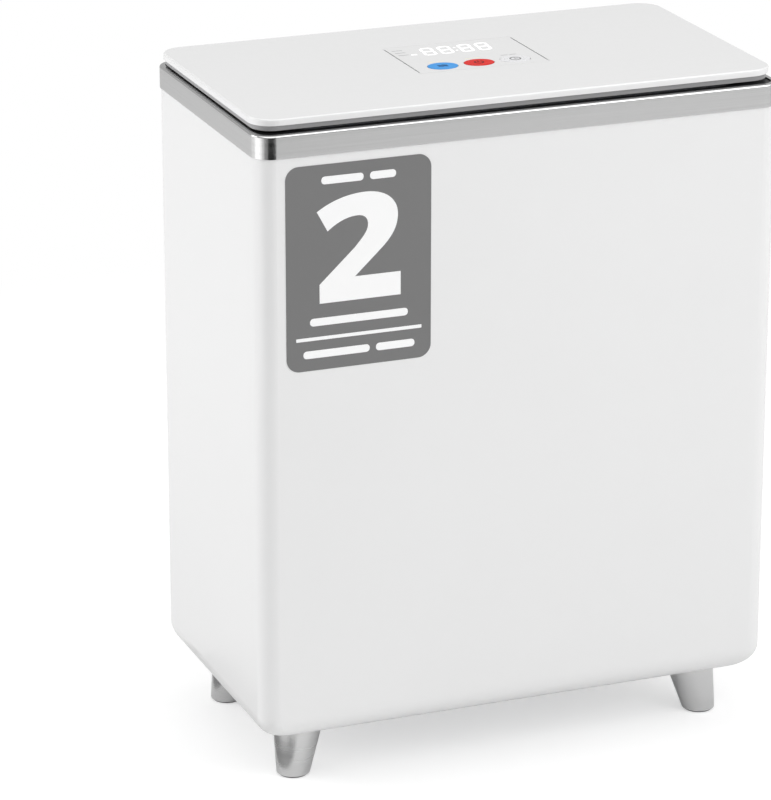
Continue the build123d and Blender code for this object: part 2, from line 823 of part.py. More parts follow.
with BuildPart() as base_heater:
    with BuildSketch(Plane.XY.offset(base_heater_bottom)):
        RectangleRounded(base_heater_width, base_heater_depth, base_heater_corner)
        add(sensor_windows.sketch, mode=Mode.SUBTRACT)
    extrude(amount=heater_thickness)
base_heater.part.label = "base_heater"
export_step(base_heater.part, "parts/base_heater.step")

with BuildPart() as base_insulation:
    with BuildSketch(Plane.XY.offset(base_insulation_bottom)):
        RectangleRounded(
            base_heater_width + 2 * base_insulation_reach,
            base_heater_depth + 2 * base_insulation_reach,
            base_heater_corner,
        )
        add(sensor_windows.sketch, mode=Mode.SUBTRACT)
    extrude(amount=base_insulation_thickness)
base_insulation.part.label = "base_insulation"
export_step(base_insulation.part, "parts/base_insulation.step")

sensor_top = bucket_bottom - seat_gap
with BuildPart() as thermostat:
    with BuildSketch(Plane.XY.offset(sensor_top)):
        with Locations((thermostat_x, 0)):
            Circle(thermostat_flange_radius)
    extrude(amount=-thermostat_flange_thickness)
    with BuildSketch(Plane.XY.offset(sensor_top - thermostat_flange_thickness)):
        with Locations((thermostat_x, 0)):
            Circle(thermostat_radius)
    extrude(amount=-thermostat_height)
    with BuildSketch(Plane.XY.offset(sensor_top - thermostat_flange_thickness - thermostat_height)):
        with Locations((thermostat_x - terminal_spread, 0), (thermostat_x + terminal_spread, 0)):
            Rectangle(terminal_thickness, terminal_width)
    extrude(amount=-terminal_length)
thermostat.part.label = "thermostat"
export_step(thermostat.part, "parts/thermostat.step")

with BuildPart() as temperature_sensor:
    with BuildSketch(Plane.XY.offset(sensor_top)):
        with Locations((sensor_x, 0)):
            RectangleRounded(sensor_length, sensor_width, sensor_corner)
    extrude(amount=-sensor_height)
temperature_sensor.part.label = "temperature_sensor"
export_step(temperature_sensor.part, "parts/temperature_sensor.step")

with BuildPart() as thermal_fuse:
    with BuildSketch(Plane(origin=(fuse_x - fuse_length / 2, 0, sensor_top - fuse_radius), z_dir=(1, 0, 0))):
        Circle(fuse_radius)
    extrude(amount=fuse_length)
    fillet(thermal_fuse.edges().filter_by(GeomType.CIRCLE), works_edge_round)
thermal_fuse.part.label = "thermal_fuse"
export_step(thermal_fuse.part, "parts/thermal_fuse.step")

# ================================================================ power board
with BuildPart() as power_board:
    with BuildSketch(Plane.XY.offset(board_bottom)):
        RectangleRounded(board_length, board_depth, board_corner)
        with GridLocations(board_holes_x, board_holes_y, 2, 2):
            Circle(board_screw_radius + screw_gap, mode=Mode.SUBTRACT)
    extrude(amount=board_thickness)
power_board.part.label = "power_board"
export_step(power_board.part, "parts/power_board.step")

board_screw = pan_screw(
    board_screw_radius, board_screw_length, board_screw_head_radius, board_screw_head_height
)
with BuildPart() as board_screws:
    with Locations((0, 0, board_top)):
        with GridLocations(board_holes_x, board_holes_y, 2, 2):
            add(board_screw)
board_screws.part.label = "board_screws"
export_step(board_screws.part, "parts/board_screws.step")

with BuildPart() as transformer:
    with BuildSketch(Plane.XY.offset(board_top)):
        with Locations((transformer_x, transformer_y)):
            RectangleRounded(transformer_size[0], transformer_size[1], transformer_corner)
            Rectangle(transformer_core_size[0], transformer_core_size[1])
    extrude(amount=transformer_size[2])
    fillet(transformer.edges().group_by(Axis.Z)[-1], works_edge_round)
transformer.part.label = "transformer"
export_step(transformer.part, "parts/transformer.step")

with BuildPart() as relay:
    with BuildSketch(Plane.XY.offset(board_top)):
        with Locations((relay_x, relay_y)):
            Rectangle(relay_size[0], relay_size[1])
    extrude(amount=relay_size[2])
    fillet(relay.edges().group_by(Axis.Z)[-1], works_edge_round)
relay.part.label = "relay"
export_step(relay.part, "parts/relay.step")

with BuildPart() as capacitor:
    with BuildSketch(Plane.XY.offset(board_top)):
        with Locations((capacitor_x, capacitor_y)):
            Circle(capacitor_radius)
    extrude(amount=capacitor_height)
    fillet(capacitor.edges().group_by(Axis.Z)[-1], works_edge_round)
capacitor.part.label = "capacitor"
export_step(capacitor.part, "parts/capacitor.step")

with BuildPart() as terminal_block:
    with BuildSketch(Plane.XY.offset(board_top)):
        with Locations((terminal_block_x, terminal_block_y)):
            Rectangle(terminal_block_size[0], terminal_block_size[1])
    extrude(amount=terminal_block_size[2])
    with BuildSketch(Plane.XY.offset(board_top + terminal_block_size[2])):
        with Locations((terminal_block_x, terminal_block_y)):
            with GridLocations(terminal_pitch, 1, terminal_ways, 1):
                Circle(terminal_bore_radius)
    extrude(amount=-terminal_bore_depth, mode=Mode.SUBTRACT)
terminal_block.part.label = "terminal_block"
export_step(terminal_block.part, "parts/terminal_block.step")

# ================================================================ mains inlet
with BuildPart() as power_inlet:
    with BuildSketch(inlet_plane):
        RectangleRounded(inlet_flange_width, inlet_flange_height, inlet_flange_corner)
    extrude(amount=inlet_flange_thickness)
    fillet(power_inlet.edges().group_by(Axis.Y)[-1], works_edge_round)
    with BuildSketch(inlet_plane):
        RectangleRounded(inlet_body_width, inlet_body_height, inlet_body_corner)
    extrude(amount=-inlet_body_depth)
    # figure-of-eight recess for the plug
    with BuildSketch(inlet_plane.offset(inlet_flange_thickness)):
        with GridLocations(inlet_bore_spacing, 1, 2, 1):
            Circle(inlet_bore_radius)
        Rectangle(inlet_bore_spacing, inlet_bore_radius)
    extrude(amount=-inlet_bore_depth, mode=Mode.SUBTRACT)
    with BuildSketch(inlet_plane.offset(-inlet_body_depth)):
        with GridLocations(inlet_bore_spacing, 1, 2, 1):
            Circle(inlet_pin_radius + pin_ear_gap)
    extrude(amount=inlet_body_depth, mode=Mode.SUBTRACT)
    with BuildSketch(*inlet_hole_planes):
        Circle(inlet_screw_radius + screw_gap)
    extrude(amount=inlet_flange_thickness, mode=Mode.SUBTRACT)
power_inlet.part.label = "power_inlet"
export_step(power_inlet.part, "parts/power_inlet.step")

inlet_bore_floor = inlet_flange_thickness - inlet_bore_depth
with BuildPart() as inlet_pins:
    with BuildSketch(inlet_plane.offset(-inlet_body_depth - inlet_pin_tail)):
        with GridLocations(inlet_bore_spacing, 1, 2, 1):
            Circle(inlet_pin_radius)
    extrude(amount=inlet_pin_tail + inlet_body_depth + inlet_bore_floor + inlet_pin_length)
inlet_pins.part.label = "inlet_pins"
export_step(inlet_pins.part, "parts/inlet_pins.step")

inlet_screw = pan_screw(
    inlet_screw_radius, inlet_screw_length, inlet_screw_head_radius, inlet_screw_head_height
)
with BuildPart() as inlet_screws:
    with Locations(*inlet_screw_planes):
        add(inlet_screw)
inlet_screws.part.label = "inlet_screws"
export_step(inlet_screws.part, "parts/inlet_screws.step")

# ================================================================ leads in the base
terminal_top = board_top + terminal_block_size[2]
lead_end_z = terminal_top - terminal_bore_depth + lead_seat
inlet_pin_end = shell_back - inlet_body_depth - inlet_pin_tail
terminal_first_x = terminal_block_x - (terminal_ways - 1) / 2 * terminal_pitch
terminal_xs = [terminal_first_x + way * terminal_pitch for way in range(terminal_ways)]


def lead(points, radius):
    """A round lead along straight runs joined by arcs."""
    with BuildPart() as wire:
        with BuildLine() as route:
            FilletPolyline(*points, radius=lead_bend)
        with BuildSketch(Plane(origin=route.line @ 0, z_dir=route.line % 0)):
            Circle(radius)
        sweep(path=route.line)
    return wire.part


with BuildPart() as mains_leads:
    for side, way in ((-1, -2), (1, -1)):
        pin_x = inlet_x + side * inlet_bore_spacing / 2
        add(
            lead(
                [
                    (pin_x, inlet_pin_end, inlet_z),
                    (pin_x, inlet_pin_end - mains_lead_front - side * inlet_bore_spacing, inlet_z),
                    (terminal_xs[way], terminal_block_y, inlet_z),
                    (terminal_xs[way], terminal_block_y, lead_end_z),
                ],
                mains_lead_radius,
            )
        )
mains_leads.part.label = "mains_leads"
export_step(mains_leads.part, "parts/mains_leads.step")

mat_face = -(mat_depth - heater_thickness) / 2
with BuildPart() as heater_leads:
    for way in (0, 1):
        add(
            lead(
                [
                    (terminal_xs[way], terminal_block_y, lead_end_z),
                    (terminal_xs[way], terminal_block_y, inlet_z - heater_lead_drop),
                    (terminal_xs[way], mat_face, inlet_z - heater_lead_drop),
                    (terminal_xs[way], mat_face, mat_bottom),
                ],
                heater_lead_radius,
            )
        )
heater_leads.part.label = "heater_leads"
export_step(heater_leads.part, "parts/heater_leads.step")

# ================================================================ hinge
for bracket_name, place in zip(("hinge_bracket_left", "hinge_bracket_right"), hinge_places):
    with BuildPart() as bracket:
        # block that is screwed to the inside of the shell's back
        with BuildSketch(Plane.XY.offset(web_top - bracket_height)):
            with Locations((place, bracket_back - bracket_thickness / 2)):
                Rectangle(bracket_length, bracket_thickness)
        extrude(amount=bracket_height)
        # ears each side of the lid's knuckle
        for side in (-1, 1):
            ear_inside = place + side * (knuckle_length / 2 + hinge_side_gap)
            with BuildSketch(Plane(origin=(ear_inside, 0, 0), x_dir=(0, 1, 0), z_dir=(1, 0, 0))):
                with Locations((hinge_y, hinge_z)):
                    Circle(barrel_radius)
                with Locations(((hinge_y - barrel_radius + bracket_back) / 2, web_top)):
                    Rectangle(bracket_back - hinge_y + barrel_radius, 2 * (hinge_z - web_top))
            extrude(amount=side * ear_thickness)
        with BuildSketch(Plane(origin=(place, 0, 0), x_dir=(0, 1, 0), z_dir=(1, 0, 0))):
            with Locations((hinge_y, hinge_z)):
                Circle(pin_radius + pin_ear_gap)
        extrude(amount=bracket_length, both=True, mode=Mode.SUBTRACT)
        with BuildSketch(Plane(origin=(place, shell_back, hinge_screw_z), x_dir=(1, 0, 0), z_dir=(0, 1, 0))):
            with GridLocations(2 * hinge_screw_spread, 1, 2, 1):
                Circle(hinge_screw_radius + screw_gap)
        extrude(amount=-hinge_screw_length - 1, mode=Mode.SUBTRACT)
    bracket.part.label = bracket_name
    export_step(bracket.part, f"parts/{bracket_name}.step")

with BuildPart() as hinge_pins:
    for place in hinge_places:
        with BuildSketch(Plane(origin=(place, hinge_y, hinge_z), x_dir=(0, 1, 0), z_dir=(1, 0, 0))):
            Circle(pin_radius)
        extrude(amount=bracket_length / 2, both=True)
hinge_pins.part.label = "hinge_pins"
export_step(hinge_pins.part, "parts/hinge_pins.step")

hinge_screw = pan_screw(
    hinge_screw_radius, hinge_screw_length, hinge_screw_head_radius, hinge_screw_head_height
)
with BuildPart() as hinge_screws:
    with Locations(*hinge_screw_planes):
        add(hinge_screw)
hinge_screws.part.label = "hinge_screws"
export_step(hinge_screws.part, "parts/hinge_screws.step")

# ================================================================ lid
panel_screw_side_x = (tub_width / 2 + bucket_width / 2 + seal_outside_mouth) / 2
panel_screw_long_y = (tub_depth / 2 + bucket_depth / 2 + seal_outside_mouth) / 2
panel_screw_places = [
    (side * panel_screw_side_x, end * panel_screw_side_y) for side in (-1, 1) for end in (-1, 1)
] + [(side * panel_screw_long_x, end * panel_screw_long_y) for side in (-1, 1) for end in (-1, 1)]
panel_screw_planes = [Plane(origin=(x, y, frame_bottom), z_dir=(0, 0, -1)) for x, y in panel_screw_places]
panel_screw_hole = flat_screw_hole(
    panel_screw_radius, panel_screw_length, panel_screw_head_radius, panel_screw_head_height, screw_gap
)
cover_screw_planes = [Plane(origin=(x, y, cover_bottom), z_dir=(0, 0, -1)) for x, y in cover_screw_places]
cover_screw_hole = flat_screw_hole(
    cover_screw_radius, cover_screw_length, cover_screw_head_radius, cover_screw_head_height, screw_gap
)
led_hole_places = [
    (control_x + side * led_holes_x / 2, control_y + end * led_holes_y / 2)
    for side in (-1, 1)
    for end in (-1, 1)
]

with BuildPart() as lid_panel:
    with BuildSketch(Plane.XY.offset(panel_bottom)):
        with Locations((0, lid_set_back)):
            RectangleRounded(lid_width, lid_depth, lid_corner)
    extrude(amount=lid_panel_thickness)
    fillet(lid_panel.edges().group_by(Axis.Z)[-1], lid_edge_round)
    # pocket for the control panel, and the opening under it
    with BuildSketch(Plane.XY.offset(lid_top)):
        with Locations((control_x, control_y)):
            RectangleRounded(control_width, control_depth, control_corner)
    extrude(amount=-control_thickness, mode=Mode.SUBTRACT)
    with BuildSketch(Plane.XY.offset(lid_top)):
        with Locations((control_x, control_y)):
            RectangleRounded(
                control_width - 2 * control_ledge,
                control_depth - 2 * control_ledge,
                control_hole_corner,
            )
    extrude(amount=-lid_panel_thickness, mode=Mode.SUBTRACT)
    with Locations(*panel_screw_planes):
        add(panel_screw_hole, mode=Mode.SUBTRACT)
lid_panel.part.label = "lid_panel"
export_step(lid_panel.part, "parts/lid_panel.step")

with BuildPart() as lid_frame:
    with BuildSketch(Plane.XY.offset(frame_bottom)):
        with Locations((0, lid_set_back)):
            RectangleRounded(frame_width, frame_depth, lid_corner - frame_inset)
    extrude(amount=frame_rim_height)
    # tub that hangs in the bucket's mouth
    with BuildSketch(Plane.XY.offset(tub_bottom)):
        RectangleRounded(tub_width, tub_depth, tub_corner)
    extrude(amount=tub_height)
    with BuildSketch(Plane.XY.offset(tub_bottom)):
        RectangleRounded(tub_width - 2 * tub_wall, tub_depth - 2 * tub_wall, tub_corner - tub_wall)
    extrude(amount=tub_height + frame_rim_height, mode=Mode.SUBTRACT)
    # bosses for the inner cover's screws, joined to the tub's wall
    with BuildSketch(Plane.XY.offset(tub_bottom)):
        with Locations(*cover_screw_places):
            Circle(tub_boss_radius)
        for x, y in cover_screw_places:
            end = 1 if y > 0 else -1
            with Locations((x, y + end * (tub_boss_inset + tub_wall / 2) / 2)):
                Rectangle(2 * tub_boss_radius, tub_boss_inset + tub_wall / 2)
    extrude(amount=tub_height)
    with Locations(*cover_screw_planes):
        Hole(cover_screw_radius + screw_gap, depth=cover_screw_length + screw_gap)
    with Locations(*panel_screw_planes):
        add(panel_screw_hole, mode=Mode.SUBTRACT)
    # hinge knuckles
    for place in hinge_places:
        with BuildSketch(Plane(origin=(place, 0, 0), x_dir=(0, 1, 0), z_dir=(1, 0, 0))):
            with Locations((hinge_y, hinge_z)):
                Circle(barrel_radius)
            with Locations(((hinge_y - barrel_radius + frame_back) / 2, (hinge_z + frame_bottom) / 2)):
                Rectangle(frame_back - hinge_y + barrel_radius, frame_bottom - hinge_z)
        extrude(amount=knuckle_length / 2, both=True)
        with BuildSketch(Plane(origin=(place, 0, 0), x_dir=(0, 1, 0), z_dir=(1, 0, 0))):
            with Locations((hinge_y, hinge_z)):
                Circle(pin_radius + pin_knuckle_gap)
        extrude(amount=knuckle_length, both=True, mode=Mode.SUBTRACT)
lid_frame.part.label = "lid_frame"
export_step(lid_frame.part, "parts/lid_frame.step")

panel_screw = flat_screw(
    panel_screw_radius, panel_screw_length, panel_screw_head_radius, panel_screw_head_height
)
with BuildPart() as lid_panel_screws:
    with Locations(*panel_screw_planes):
        add(panel_screw)
lid_panel_screws.part.label = "lid_panel_screws"
export_step(lid_panel_screws.part, "parts/lid_panel_screws.step")

seal_width = bucket_width + 2 * (seal_outside_mouth + seal_wall)
seal_depth = bucket_depth + 2 * (seal_outside_mouth + seal_wall)
with BuildPart() as lid_seal:
    add(
        ring(
            seal_width,
            seal_depth,
            bucket_corner + seal_outside_mouth + seal_wall,
            seal_wall,
            collar_top + seal_gap,
            frame_bottom - collar_top - seal_gap,
        )
    )
    fillet(lid_seal.edges().group_by(Axis.Z)[0], seal_round)
lid_seal.part.label = "lid_seal"
export_step(lid_seal.part, "parts/lid_seal.step")

cup_outer_radius = cup_radius + cup_wall
lug_bottom = cover_bottom - scent_cover_proud + scent_cover_thickness + scent_skirt_height - lug_height
groove_bottom = lug_bottom - lug_gap
groove_height = lug_height + 2 * lug_gap
scent_cover_radius = cup_radius - scent_cover_gap


def fan(radius, angle, turn):
    """A sector of a disc, opened by an angle about a direction, to be drawn in a sketch."""
    with BuildSketch() as sector:
        with BuildLine():
            start = (radius * cos(radians(turn - angle / 2)), radius * sin(radians(turn - angle / 2)))
            middle = (radius * cos(radians(turn)), radius * sin(radians(turn)))
            finish = (radius * cos(radians(turn + angle / 2)), radius * sin(radians(turn + angle / 2)))
            Line((0, 0), start)
            ThreePointArc(start, middle, finish)
            Line(finish, (0, 0))
        make_face()
    return sector.sketch


with BuildPart() as lid_inner_cover:
    with BuildSketch(Plane.XY.offset(cover_bottom)):
        RectangleRounded(tub_width, tub_depth, tub_corner)
    extrude(amount=cover_thickness)
    fillet(lid_inner_cover.edges().group_by(Axis.Z)[0], 1)
    # scent holder's cup
    with BuildSketch(Plane.XY.offset(cover_bottom)):
        with Locations((scent_x, 0)):
            Circle(cup_outer_radius)
    extrude(amount=cup_depth + cup_roof)
    with BuildSketch(Plane.XY.offset(cover_bottom)):
        with Locations((scent_x, 0)):
            Circle(cup_radius)
    extrude(amount=cup_depth, mode=Mode.SUBTRACT)
    # groove and entries for the cover's lugs
    with BuildSketch(Plane.XY.offset(groove_bottom)):
        with Locations((scent_x, 0)):
            Circle(scent_cover_radius + lug_reach + lug_gap)
    extrude(amount=groove_height, mode=Mode.SUBTRACT)
    with BuildSketch(Plane.XY.offset(cover_bottom)):
        with Locations((scent_x, 0)):
            for turn in (0, 180):
                add(fan(scent_cover_radius + lug_reach + lug_gap, lug_entry_angle, turn + scent_twist))
    extrude(amount=groove_bottom - cover_bottom, mode=Mode.SUBTRACT)
    # posts under the display board
    with BuildSketch(Plane.XY.offset(tub_bottom)):
        with Locations(*led_hole_places):
            Circle(led_post_radius)
    extrude(amount=led_board_bottom - tub_bottom)
    with BuildSketch(Plane.XY.offset(led_board_bottom)):
        with Locations(*led_hole_places):
            Circle(board_screw_radius + screw_gap)
    extrude(amount=-board_screw_length, mode=Mode.SUBTRACT)
    with Locations(*cover_screw_planes):
        add(cover_screw_hole, mode=Mode.SUBTRACT)
lid_inner_cover.part.label = "lid_inner_cover"
export_step(lid_inner_cover.part, "parts/lid_inner_cover.step")

cover_screw = flat_screw(
    cover_screw_radius, cover_screw_length, cover_screw_head_radius, cover_screw_head_height
)
with BuildPart() as inner_cover_screws:
    with Locations(*cover_screw_planes):
        add(cover_screw)
inner_cover_screws.part.label = "inner_cover_screws"
export_step(inner_cover_screws.part, "parts/inner_cover_screws.step")

with BuildPart() as lid_insulation:
    with BuildSketch(Plane.XY.offset(tub_bottom + heater_gap)):
        RectangleRounded(
            tub_width - 2 * (tub_wall + lid_insulation_gap),
            tub_depth - 2 * (tub_wall + lid_insulation_gap),
            tub_corner - tub_wall - lid_insulation_gap,
        )
        with Locations((scent_x, 0)):
            Circle(cup_outer_radius + lid_insulation_gap, mode=Mode.SUBTRACT)
        with Locations(*led_hole_places):
            Circle(led_post_radius + lid_insulation_gap, mode=Mode.SUBTRACT)
        for x, y in cover_screw_places:
            end = 1 if y > 0 else -1
            with Locations((x, y + end * tub_boss_inset / 2)):
                Rectangle(
                    2 * (tub_boss_radius + lid_insulation_gap),
                    tub_boss_inset + 2 * (tub_boss_radius + lid_insulation_gap),
                    mode=Mode.SUBTRACT,
                )
    extrude(amount=lid_insulation_thickness)
lid_insulation.part.label = "lid_insulation"
export_step(lid_insulation.part, "parts/lid_insulation.step")

# ================================================================ controls
with BuildPart() as control_panel:
    with BuildSketch(Plane.XY.offset(control_bottom)):
        with Locations((control_x, control_y)):
            RectangleRounded(
                control_width - 2 * control_gap,
                control_depth - 2 * control_gap,
                control_corner - control_gap,
            )
        with Locations(*button_centres):
            Ellipse(button_half_width + button_gap, button_half_depth + button_gap, mode=Mode.SUBTRACT)
    extrude(amount=control_thickness)
control_panel.part.label = "control_panel"
export_step(control_panel.part, "parts/control_panel.step")

for button_name, centre in zip(button_names, button_centres):
    with BuildPart() as button:
        with BuildSketch(Plane.XY.offset(button_bottom)):
            with Locations(centre):
                Ellipse(button_half_width, button_half_depth)
        extrude(amount=button_thickness)
        fillet(button.edges().group_by(Axis.Z)[-1], button_edge_round)
        with BuildSketch(Plane.XY.offset(stem_bottom)):
            with Locations(centre):
                Circle(stem_radius)
        extrude(amount=button_bottom - stem_bottom)
        # snap ring that stops the button against the guide
        with BuildSketch(Plane.XY.offset(stop_top - stem_stop_height)):
            with Locations(centre):
                Circle(stem_stop_radius)
        extrude(amount=stem_stop_height)
    button.part.label = button_name
    export_step(button.part, f"parts/{button_name}.step")

for plunger_name, centre in zip(plunger_names, button_centres):
    with BuildPart() as plunger:
        with BuildSketch(Plane.XY.offset(stem_bottom)):
            with Locations(centre):
                Circle(plunger_radius)
        extrude(amount=-plunger_length)
    plunger.part.label = plunger_name
    export_step(plunger.part, f"parts/{plunger_name}.step")

guide_width = control_width - 2 * (control_ledge + guide_edge_gap)
guide_depth = control_depth - 2 * (control_ledge + guide_edge_gap)
guide_legs_x = guide_width - 2 * guide_leg_inset
guide_legs_y = guide_depth - 2 * guide_leg_inset
with BuildPart() as button_guide:
    with BuildSketch(Plane.XY.offset(guide_bottom)):
        with Locations((control_x, control_y)):
            RectangleRounded(guide_width, guide_depth, 2)
        with Locations(*button_centres):
            Circle(stem_radius + stem_gap, mode=Mode.SUBTRACT)
        with Locations((display_x, display_y)):
            Rectangle(
                display_width + 2 * display_window_gap,
                display_depth + 2 * display_window_gap,
                mode=Mode.SUBTRACT,
            )
    extrude(amount=guide_thickness)
    with BuildSketch(Plane.XY.offset(led_board_top)):
        with Locations((control_x, control_y)):
            with GridLocations(guide_legs_x, guide_legs_y, 2, 2):
                Circle(guide_leg_radius)
    extrude(amount=guide_bottom - led_board_top)
    with BuildSketch(Plane.XY.offset(guide_top)):
        with Locations((control_x, control_y)):
            with GridLocations(guide_legs_x, guide_legs_y, 2, 2):
                Circle(guide_leg_radius)
    extrude(amount=control_bottom - guide_top - seat_gap)
button_guide.part.label = "button_guide"
export_step(button_guide.part, "parts/button_guide.step")

with BuildPart() as led_display:
    with BuildSketch(Plane.XY.offset(led_board_top)):
        with Locations((display_x, display_y)):
            Rectangle(display_width, display_depth)
    extrude(amount=display_height)
led_display.part.label = "led_display"
export_step(led_display.part, "parts/led_display.step")

with BuildPart() as display_board:
    with BuildSketch(Plane.XY.offset(led_board_bottom)):
        with Locations((control_x, control_y)):
            RectangleRounded(led_board_width, led_board_depth, 2)
        with Locations(*led_hole_places):
            Circle(board_screw_radius + screw_gap, mode=Mode.SUBTRACT)
    extrude(amount=board_thickness)
display_board.part.label = "display_board"
export_step(display_board.part, "parts/display_board.step")

with BuildPart() as display_board_screws:
    with Locations(*[(x, y, led_board_top) for x, y in led_hole_places]):
        add(board_screw)
display_board_screws.part.label = "display_board_screws"
export_step(display_board_screws.part, "parts/display_board_screws.step")

with BuildPart() as tact_switches:
    with BuildSketch(Plane.XY.offset(led_board_top)):
        with Locations(*button_centres):
            Rectangle(switch_size, switch_size)
            Circle(plunger_radius + plunger_gap, mode=Mode.SUBTRACT)
    extrude(amount=switch_height)
tact_switches.part.label = "tact_switches"
export_step(tact_switches.part, "parts/tact_switches.step")

# ================================================================ scent holder
skirt_top = cover_bottom - scent_cover_proud + scent_cover_thickness + scent_skirt_height
with BuildPart() as scent_cover:
    with BuildSketch(Plane.XY.offset(cover_bottom - scent_cover_proud)):
        with Locations((scent_x, 0)):
            Circle(scent_cover_radius)
    extrude(amount=scent_cover_thickness)
    with BuildSketch(Plane.XY.offset(skirt_top - scent_skirt_height)):
        with Locations((scent_x, 0)):
            Circle(scent_cover_radius)
            Circle(scent_cover_radius - scent_skirt_wall, mode=Mode.SUBTRACT)
    extrude(amount=scent_skirt_height)
    # lugs
    with BuildSketch(Plane.XY.offset(lug_bottom)):
        with Locations((scent_x, 0)):
            for turn in (0, 180):
                add(fan(scent_cover_radius + lug_reach, lug_angle, turn))
            Circle(scent_cover_radius - scent_skirt_wall, mode=Mode.SUBTRACT)
    extrude(amount=lug_height)
    # scent holes
    with BuildSketch(Plane.XY.offset(cover_bottom - scent_cover_proud)):
        with Locations((scent_x, 0)):
            for ring_radius, count in zip(scent_hole_ring_radii, scent_hole_ring_counts):
                with PolarLocations(ring_radius, count):
                    Circle(scent_hole_radius)
    extrude(amount=scent_cover_thickness, mode=Mode.SUBTRACT)
    # bar to turn it by
    with BuildSketch(Plane.XY.offset(cover_bottom - scent_cover_proud)):
        with Locations((scent_x, 0)):
            RectangleRounded(grip_length, grip_width, grip_corner)
    extrude(amount=-grip_height)
scent_cover.part.label = "scent_cover"
export_step(scent_cover.part, "parts/scent_cover.step")

with BuildPart() as scent_pad:
    with BuildSketch(Plane.XY.offset(skirt_top + seat_gap)):
        with Locations((scent_x, 0)):
            Circle(scent_cover_radius - scent_cover_gap)
    extrude(amount=scent_pad_height)
scent_pad.part.label = "scent_pad"
export_step(scent_pad.part, "parts/scent_pad.step")
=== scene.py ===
"""The looks of a two-towel warmer bucket: finishes, printed marks, lit digits, studio and camera."""

from math import cos, pi, radians, sin

import bmesh
import bpy
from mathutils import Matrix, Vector

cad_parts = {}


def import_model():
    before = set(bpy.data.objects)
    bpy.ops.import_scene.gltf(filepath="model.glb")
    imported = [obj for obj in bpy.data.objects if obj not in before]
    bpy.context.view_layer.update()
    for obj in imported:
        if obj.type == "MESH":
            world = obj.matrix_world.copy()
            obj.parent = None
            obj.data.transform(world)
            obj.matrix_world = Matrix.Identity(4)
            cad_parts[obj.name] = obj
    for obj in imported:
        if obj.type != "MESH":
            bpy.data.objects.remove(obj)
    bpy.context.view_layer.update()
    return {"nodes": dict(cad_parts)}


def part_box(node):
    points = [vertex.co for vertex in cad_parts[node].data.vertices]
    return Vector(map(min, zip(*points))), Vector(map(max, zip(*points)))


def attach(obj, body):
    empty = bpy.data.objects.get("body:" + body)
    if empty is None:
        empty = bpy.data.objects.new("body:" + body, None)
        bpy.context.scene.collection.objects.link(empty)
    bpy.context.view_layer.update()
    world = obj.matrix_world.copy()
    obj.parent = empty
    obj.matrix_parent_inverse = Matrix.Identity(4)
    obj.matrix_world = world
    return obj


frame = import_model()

NODES = frame["nodes"]
MM = 0.001

# ---------------------------------------------------------------- camera and studio
VIEW_TURN = radians(21.356)  # how far the camera stands round to the object's left
VIEW_PITCH = radians(19.362)
VIEW_DISTANCE = 2.8195
VIEW_TARGET = Vector((-0.0580, 0.0, 0.2338))
LENS = 185.55
SENSOR = 36.0
CLIP_START = 0.05
CLIP_END = 40.0

WORLD_STRENGTH = 0.62
LAMPS_TARGET = (0.0, 0.0, 0.25)
# area lamps: name, place, width, height and watts
LAMPS = (
    ("left", (-2.2, 1.0, 1.3), 1.6, 1.6, 24.0),
    ("front", (1.4, -1.6, 1.7), 1.6, 1.6, 24.0),
    ("top", (0.2, 0.3, 2.6), 2.0, 1.6, 7.0),
)
# level boards that only gloss and metal see: name, middle, width, depth and grey
LEVEL_BOARDS = (
    ("overhead_board", (0.4, -0.9, 2.2), 3.6, 2.6, 2.4),
    ("left_card", (-0.21, 0.0, 0.0005), 0.06, 0.3, 0.3),
)
FLOOR_RADIUS = 6.0
FLOOR_SIDES = 96
FLOOR_ALBEDO = 0.90
FLOOR_ROUGHNESS = 0.8
FLOOR_LIFT = 0.31  # share of plain white that thins the shadow for the camera
FLOOR_LIFT_WHITE = 1.62
SHADOW_START = 0.42  # from here out to the end, the floor turns to plain white
SHADOW_END = 1.05
# boards that stand round the front left corner: directions from it in degrees, and greys
SCREEN = (
    (138, 164, 1.3),
    (164, 196, 2.1),
    (196, 208, 1.7),
    (208, 222, 1.0),
    (222, 242, 0.4),
    (242, 281, 0.02),
)
SCREEN_FOOT = (-0.185, -0.1, 0.0)
SCREEN_DISTANCE = 0.9
SCREEN_HEIGHT = 0.42

# ---------------------------------------------------------------- printed marks, in millimetres
PRINT_LIFT = 0.05
MARK_CORNER = 0.3

# the label's marks; heights are over its lower edge
LABEL_PRINT_LIFT = 0.08
DIGIT_WIDTH = 57.9
DIGIT_HEIGHT = 72.1
DIGIT_FOOT = 45.1
WORD_BAR_HEIGHT = 5.2
WORD_BAR_CORNER = 2.3
WORD_BAR_GAP = 4.4
TOP_BARS = (29.0, 18.0)
TOP_BARS_UP = 127.6
MIDDLE_BARS = (68.0,)
MIDDLE_BARS_UP = 32.8
LOWER_BARS = (46.0, 27.0)
LOWER_BARS_UP = 11.0
RULE_LENGTH = 87.2
RULE_HEIGHT = 2.3
RULE_CORNER = 0.4
RULE_UP = 21.6

# the display's lit figures
SEGMENT_WIDTH = 1.9
SEGMENT_GAP = 0.5
FIGURE_COUNT = 4
FIGURE_WIDTH = 9.4
FIGURE_HEIGHT = 19.0
FIGURE_SLANT = 0.10
FIGURE_STEP = 12.6
PAIR_SPREAD = 1.1  # each pair's shift away from the colon
COLON_RADIUS = 0.9
COLON_RISE = 3.6
COLON_SLANT = 0.4
GLOW_STRENGTH = 0.35

